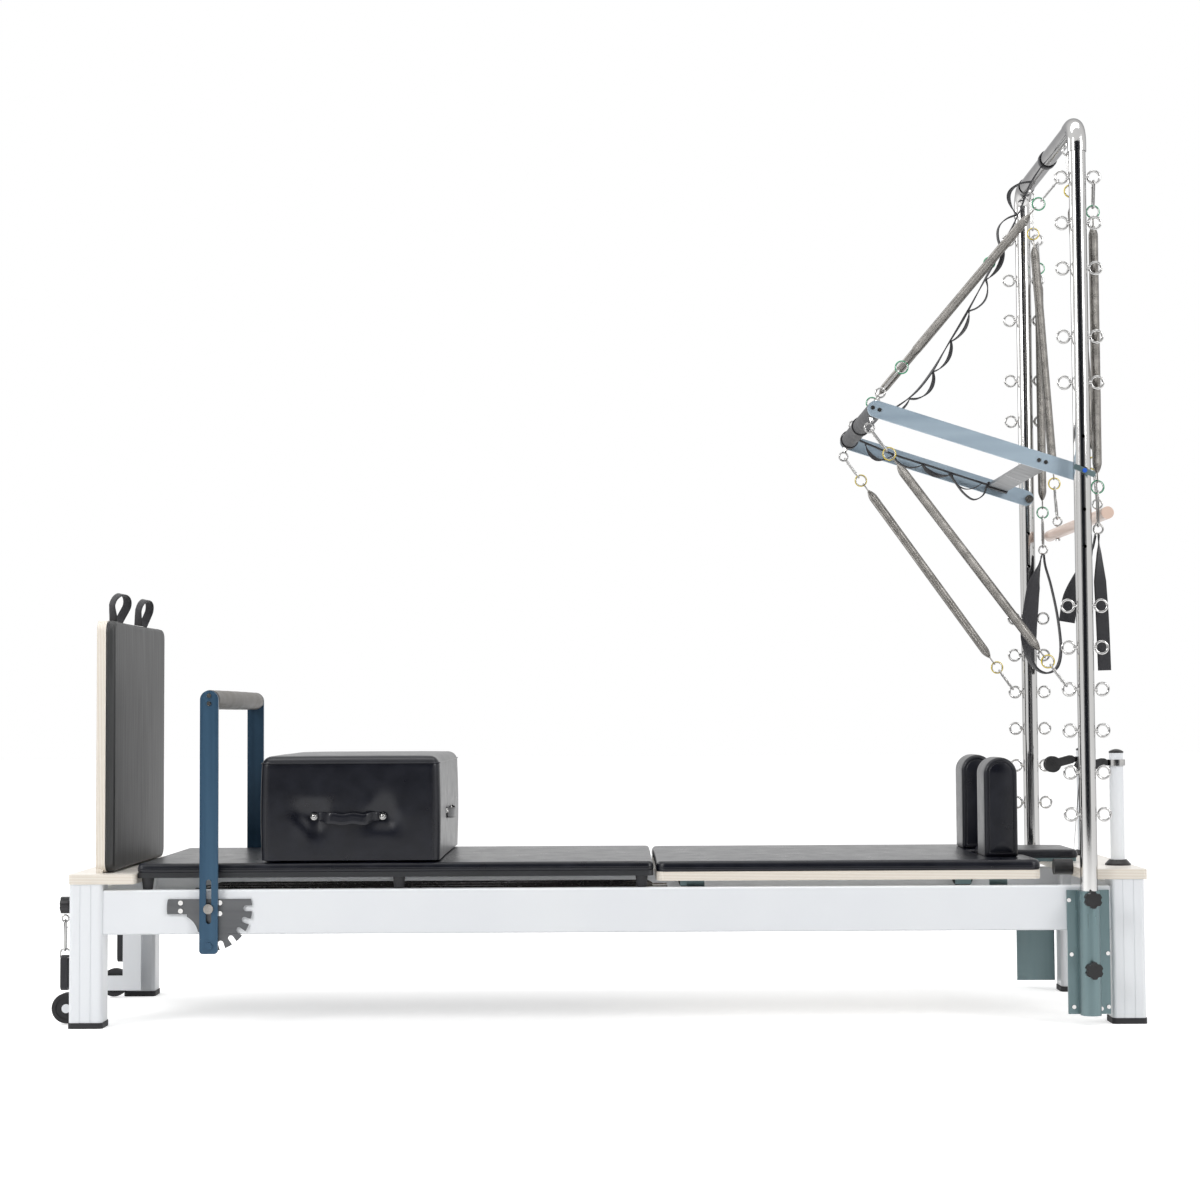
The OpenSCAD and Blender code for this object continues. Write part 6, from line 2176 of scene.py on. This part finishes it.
@dataclass(frozen=True)
class Studio:
    """White surroundings, soft lights and the camera of the photograph."""

    place: tuple[float, float, float] = (0.04409, -5.32967, 0.69591)
    yaw: float = -0.00595
    pitch: float = 0.05058
    roll: float = -0.00574
    focal_px: float = 2234.33

    LAMPS = (("key", (-3.9, -3.6, 3.4), (1.5, 2.4), 126.0),
             ("fill", (4.2, -3.4, 3.0), (1.3, 2.4), 90.0),
             ("top", (0.1, -0.4, 4.8), (4.6, 1.6), 68.0),
             ("rim", (-3.6, 2.4, 2.8), (2.2, 2.0), 39.0))
    AIM = Vector((0.1, 0.0, 0.7))
    SENSOR = 36.0
    MATT = {"Specular_IOR_Level": 0.05}

    def build(self) -> None:
        """Make the whole studio."""
        self._camera()
        self._world()
        self._floor()
        self._card()
        for name, at, size, watts in self.LAMPS:
            self._lamp(name, at, size, watts)
        bpy.context.scene.view_settings.view_transform = "Standard"

    def _camera(self) -> None:
        """Place the camera that was fitted to the photograph."""
        sy, cy = math.sin(self.yaw), math.cos(self.yaw)
        sp, cp = math.sin(self.pitch), math.cos(self.pitch)
        forward = Vector((sy * cp, cy * cp, sp))
        right = Vector((cy, -sy, 0.0))
        up = right.cross(forward)
        sr, cr = math.sin(self.roll), math.cos(self.roll)
        r = right * cr + up * sr
        u = right * -sr + up * cr
        data = bpy.data.cameras.new("photo_camera")
        data.sensor_fit = "HORIZONTAL"
        data.sensor_width = self.SENSOR
        data.lens = self.focal_px / IMAGE_SIDE * self.SENSOR
        data.clip_end = 60.0
        camera = bpy.data.objects.new("photo_camera", data)
        rows = Matrix((r, u, -forward)).transposed().to_4x4()
        rows.translation = Vector(self.place)
        camera.matrix_world = rows
        bpy.context.scene.collection.objects.link(camera)
        bpy.context.scene.camera = camera

    @staticmethod
    def _world() -> None:
        """Even pale surroundings, which the eye and polished metal see as white."""
        world = bpy.data.worlds.new("studio_world")
        bpy.context.scene.world = world
        g = NodeGraph(world)
        g.put(g.shader.inputs["Color"], (1.0, 1.0, 1.0, 1.0))
        g.put(g.shader.inputs["Strength"], g.seen(0.64, 1.0))

    def _floor(self) -> None:
        """A pale floor that runs out of sight on every side.

        It takes the object's shadow, and its glow is only seen, by the camera and in
        polished metal: it doesn't light the object.
        """

        def build(g: NodeGraph) -> None:
            cloud = g.noise(g.coords(), 1.2)
            g.surface(g.mix(g.ramp(cloud, 0.35, 0.65), (0.78,) * 3, (0.76,) * 3),
                      g.ramp(cloud, 0.3, 0.7, 0.85, 0.95),
                      g.bump(g.noise(g.coords(), 200.0), 0.01),
                      Emission_Color=(1.0, 1.0, 1.0, 1.0),
                      Emission_Strength=g.seen(0.0, 0.56), **self.MATT)

        count = 31
        x, y = np.meshgrid(*[np.linspace(-30, 30, count)] * 2, indexing="ij")
        verts = np.stack([x, y, 0 * x], 2).reshape(-1, 3)
        faces = [f[::-1] for f in grid_faces(count, count, wrap_cols=False)]
        make_object("studio_floor", MeshData(verts, faces),
                             [LIBRARY.make("paper", build)], 80)

    def _card(self) -> None:
        """A dark card behind the camera, which gives the metal its dark stripe."""

        def build(g: NodeGraph) -> None:
            split = g.add("ShaderNodeSeparateXYZ", Vector=g.coords())
            out = g.math("ABSOLUTE", split.outputs["X"])
            g.surface(g.mix(g.ramp(out, 2.1, half), (0.02, 0.022, 0.028),
                            (0.62, 0.62, 0.63)),
                      g.ramp(g.noise(g.coords(), 3.0), 0.3, 0.7, 0.85, 0.95),
                      g.bump(g.noise(g.coords(), 60.0), 0.02), **self.MATT)

        half, behind, heights = 5.5, -6.8, (0.02, 2.2, 4.4)
        x = np.linspace(-half, half, 23)
        verts = np.vstack([np.column_stack([x, behind + 0 * x, z + 0 * x]) for z in heights])
        faces = grid_faces(len(heights), len(x), wrap_cols=False)
        card = make_object("studio_card", MeshData(verts, faces),
                           [LIBRARY.make("card", build)], 80)
        card.visible_camera = False

    def _lamp(self, name: str, at: Sequence[float], size: tuple[float, float],
              watts: float) -> None:
        """A soft area light aimed at the middle of the object."""
        data = bpy.data.lights.new(name, "AREA")
        data.shape = "RECTANGLE"
        data.size, data.size_y = size
        data.energy = watts
        lamp = bpy.data.objects.new(name, data)
        lamp.location = at
        aim = self.AIM - Vector(at)
        lamp.rotation_euler = aim.to_track_quat("-Z", "Y").to_euler()
        bpy.context.scene.collection.objects.link(lamp)


def main() -> None:
    """Build the studio and every sub-assembly in order, and report each piece."""
    logging.basicConfig(level=logging.INFO)
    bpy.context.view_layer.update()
    for maker in (Studio(), Dresser(), Upholstery(), Grips(), Chains(), Webbing()):
        known = set(bpy.data.objects.keys())
        maker.build()
        for name in sorted(set(bpy.data.objects.keys()) - known):
            LOG.info("%s made %s", type(maker).__name__, name)


if __name__ == "__main__":
    main()
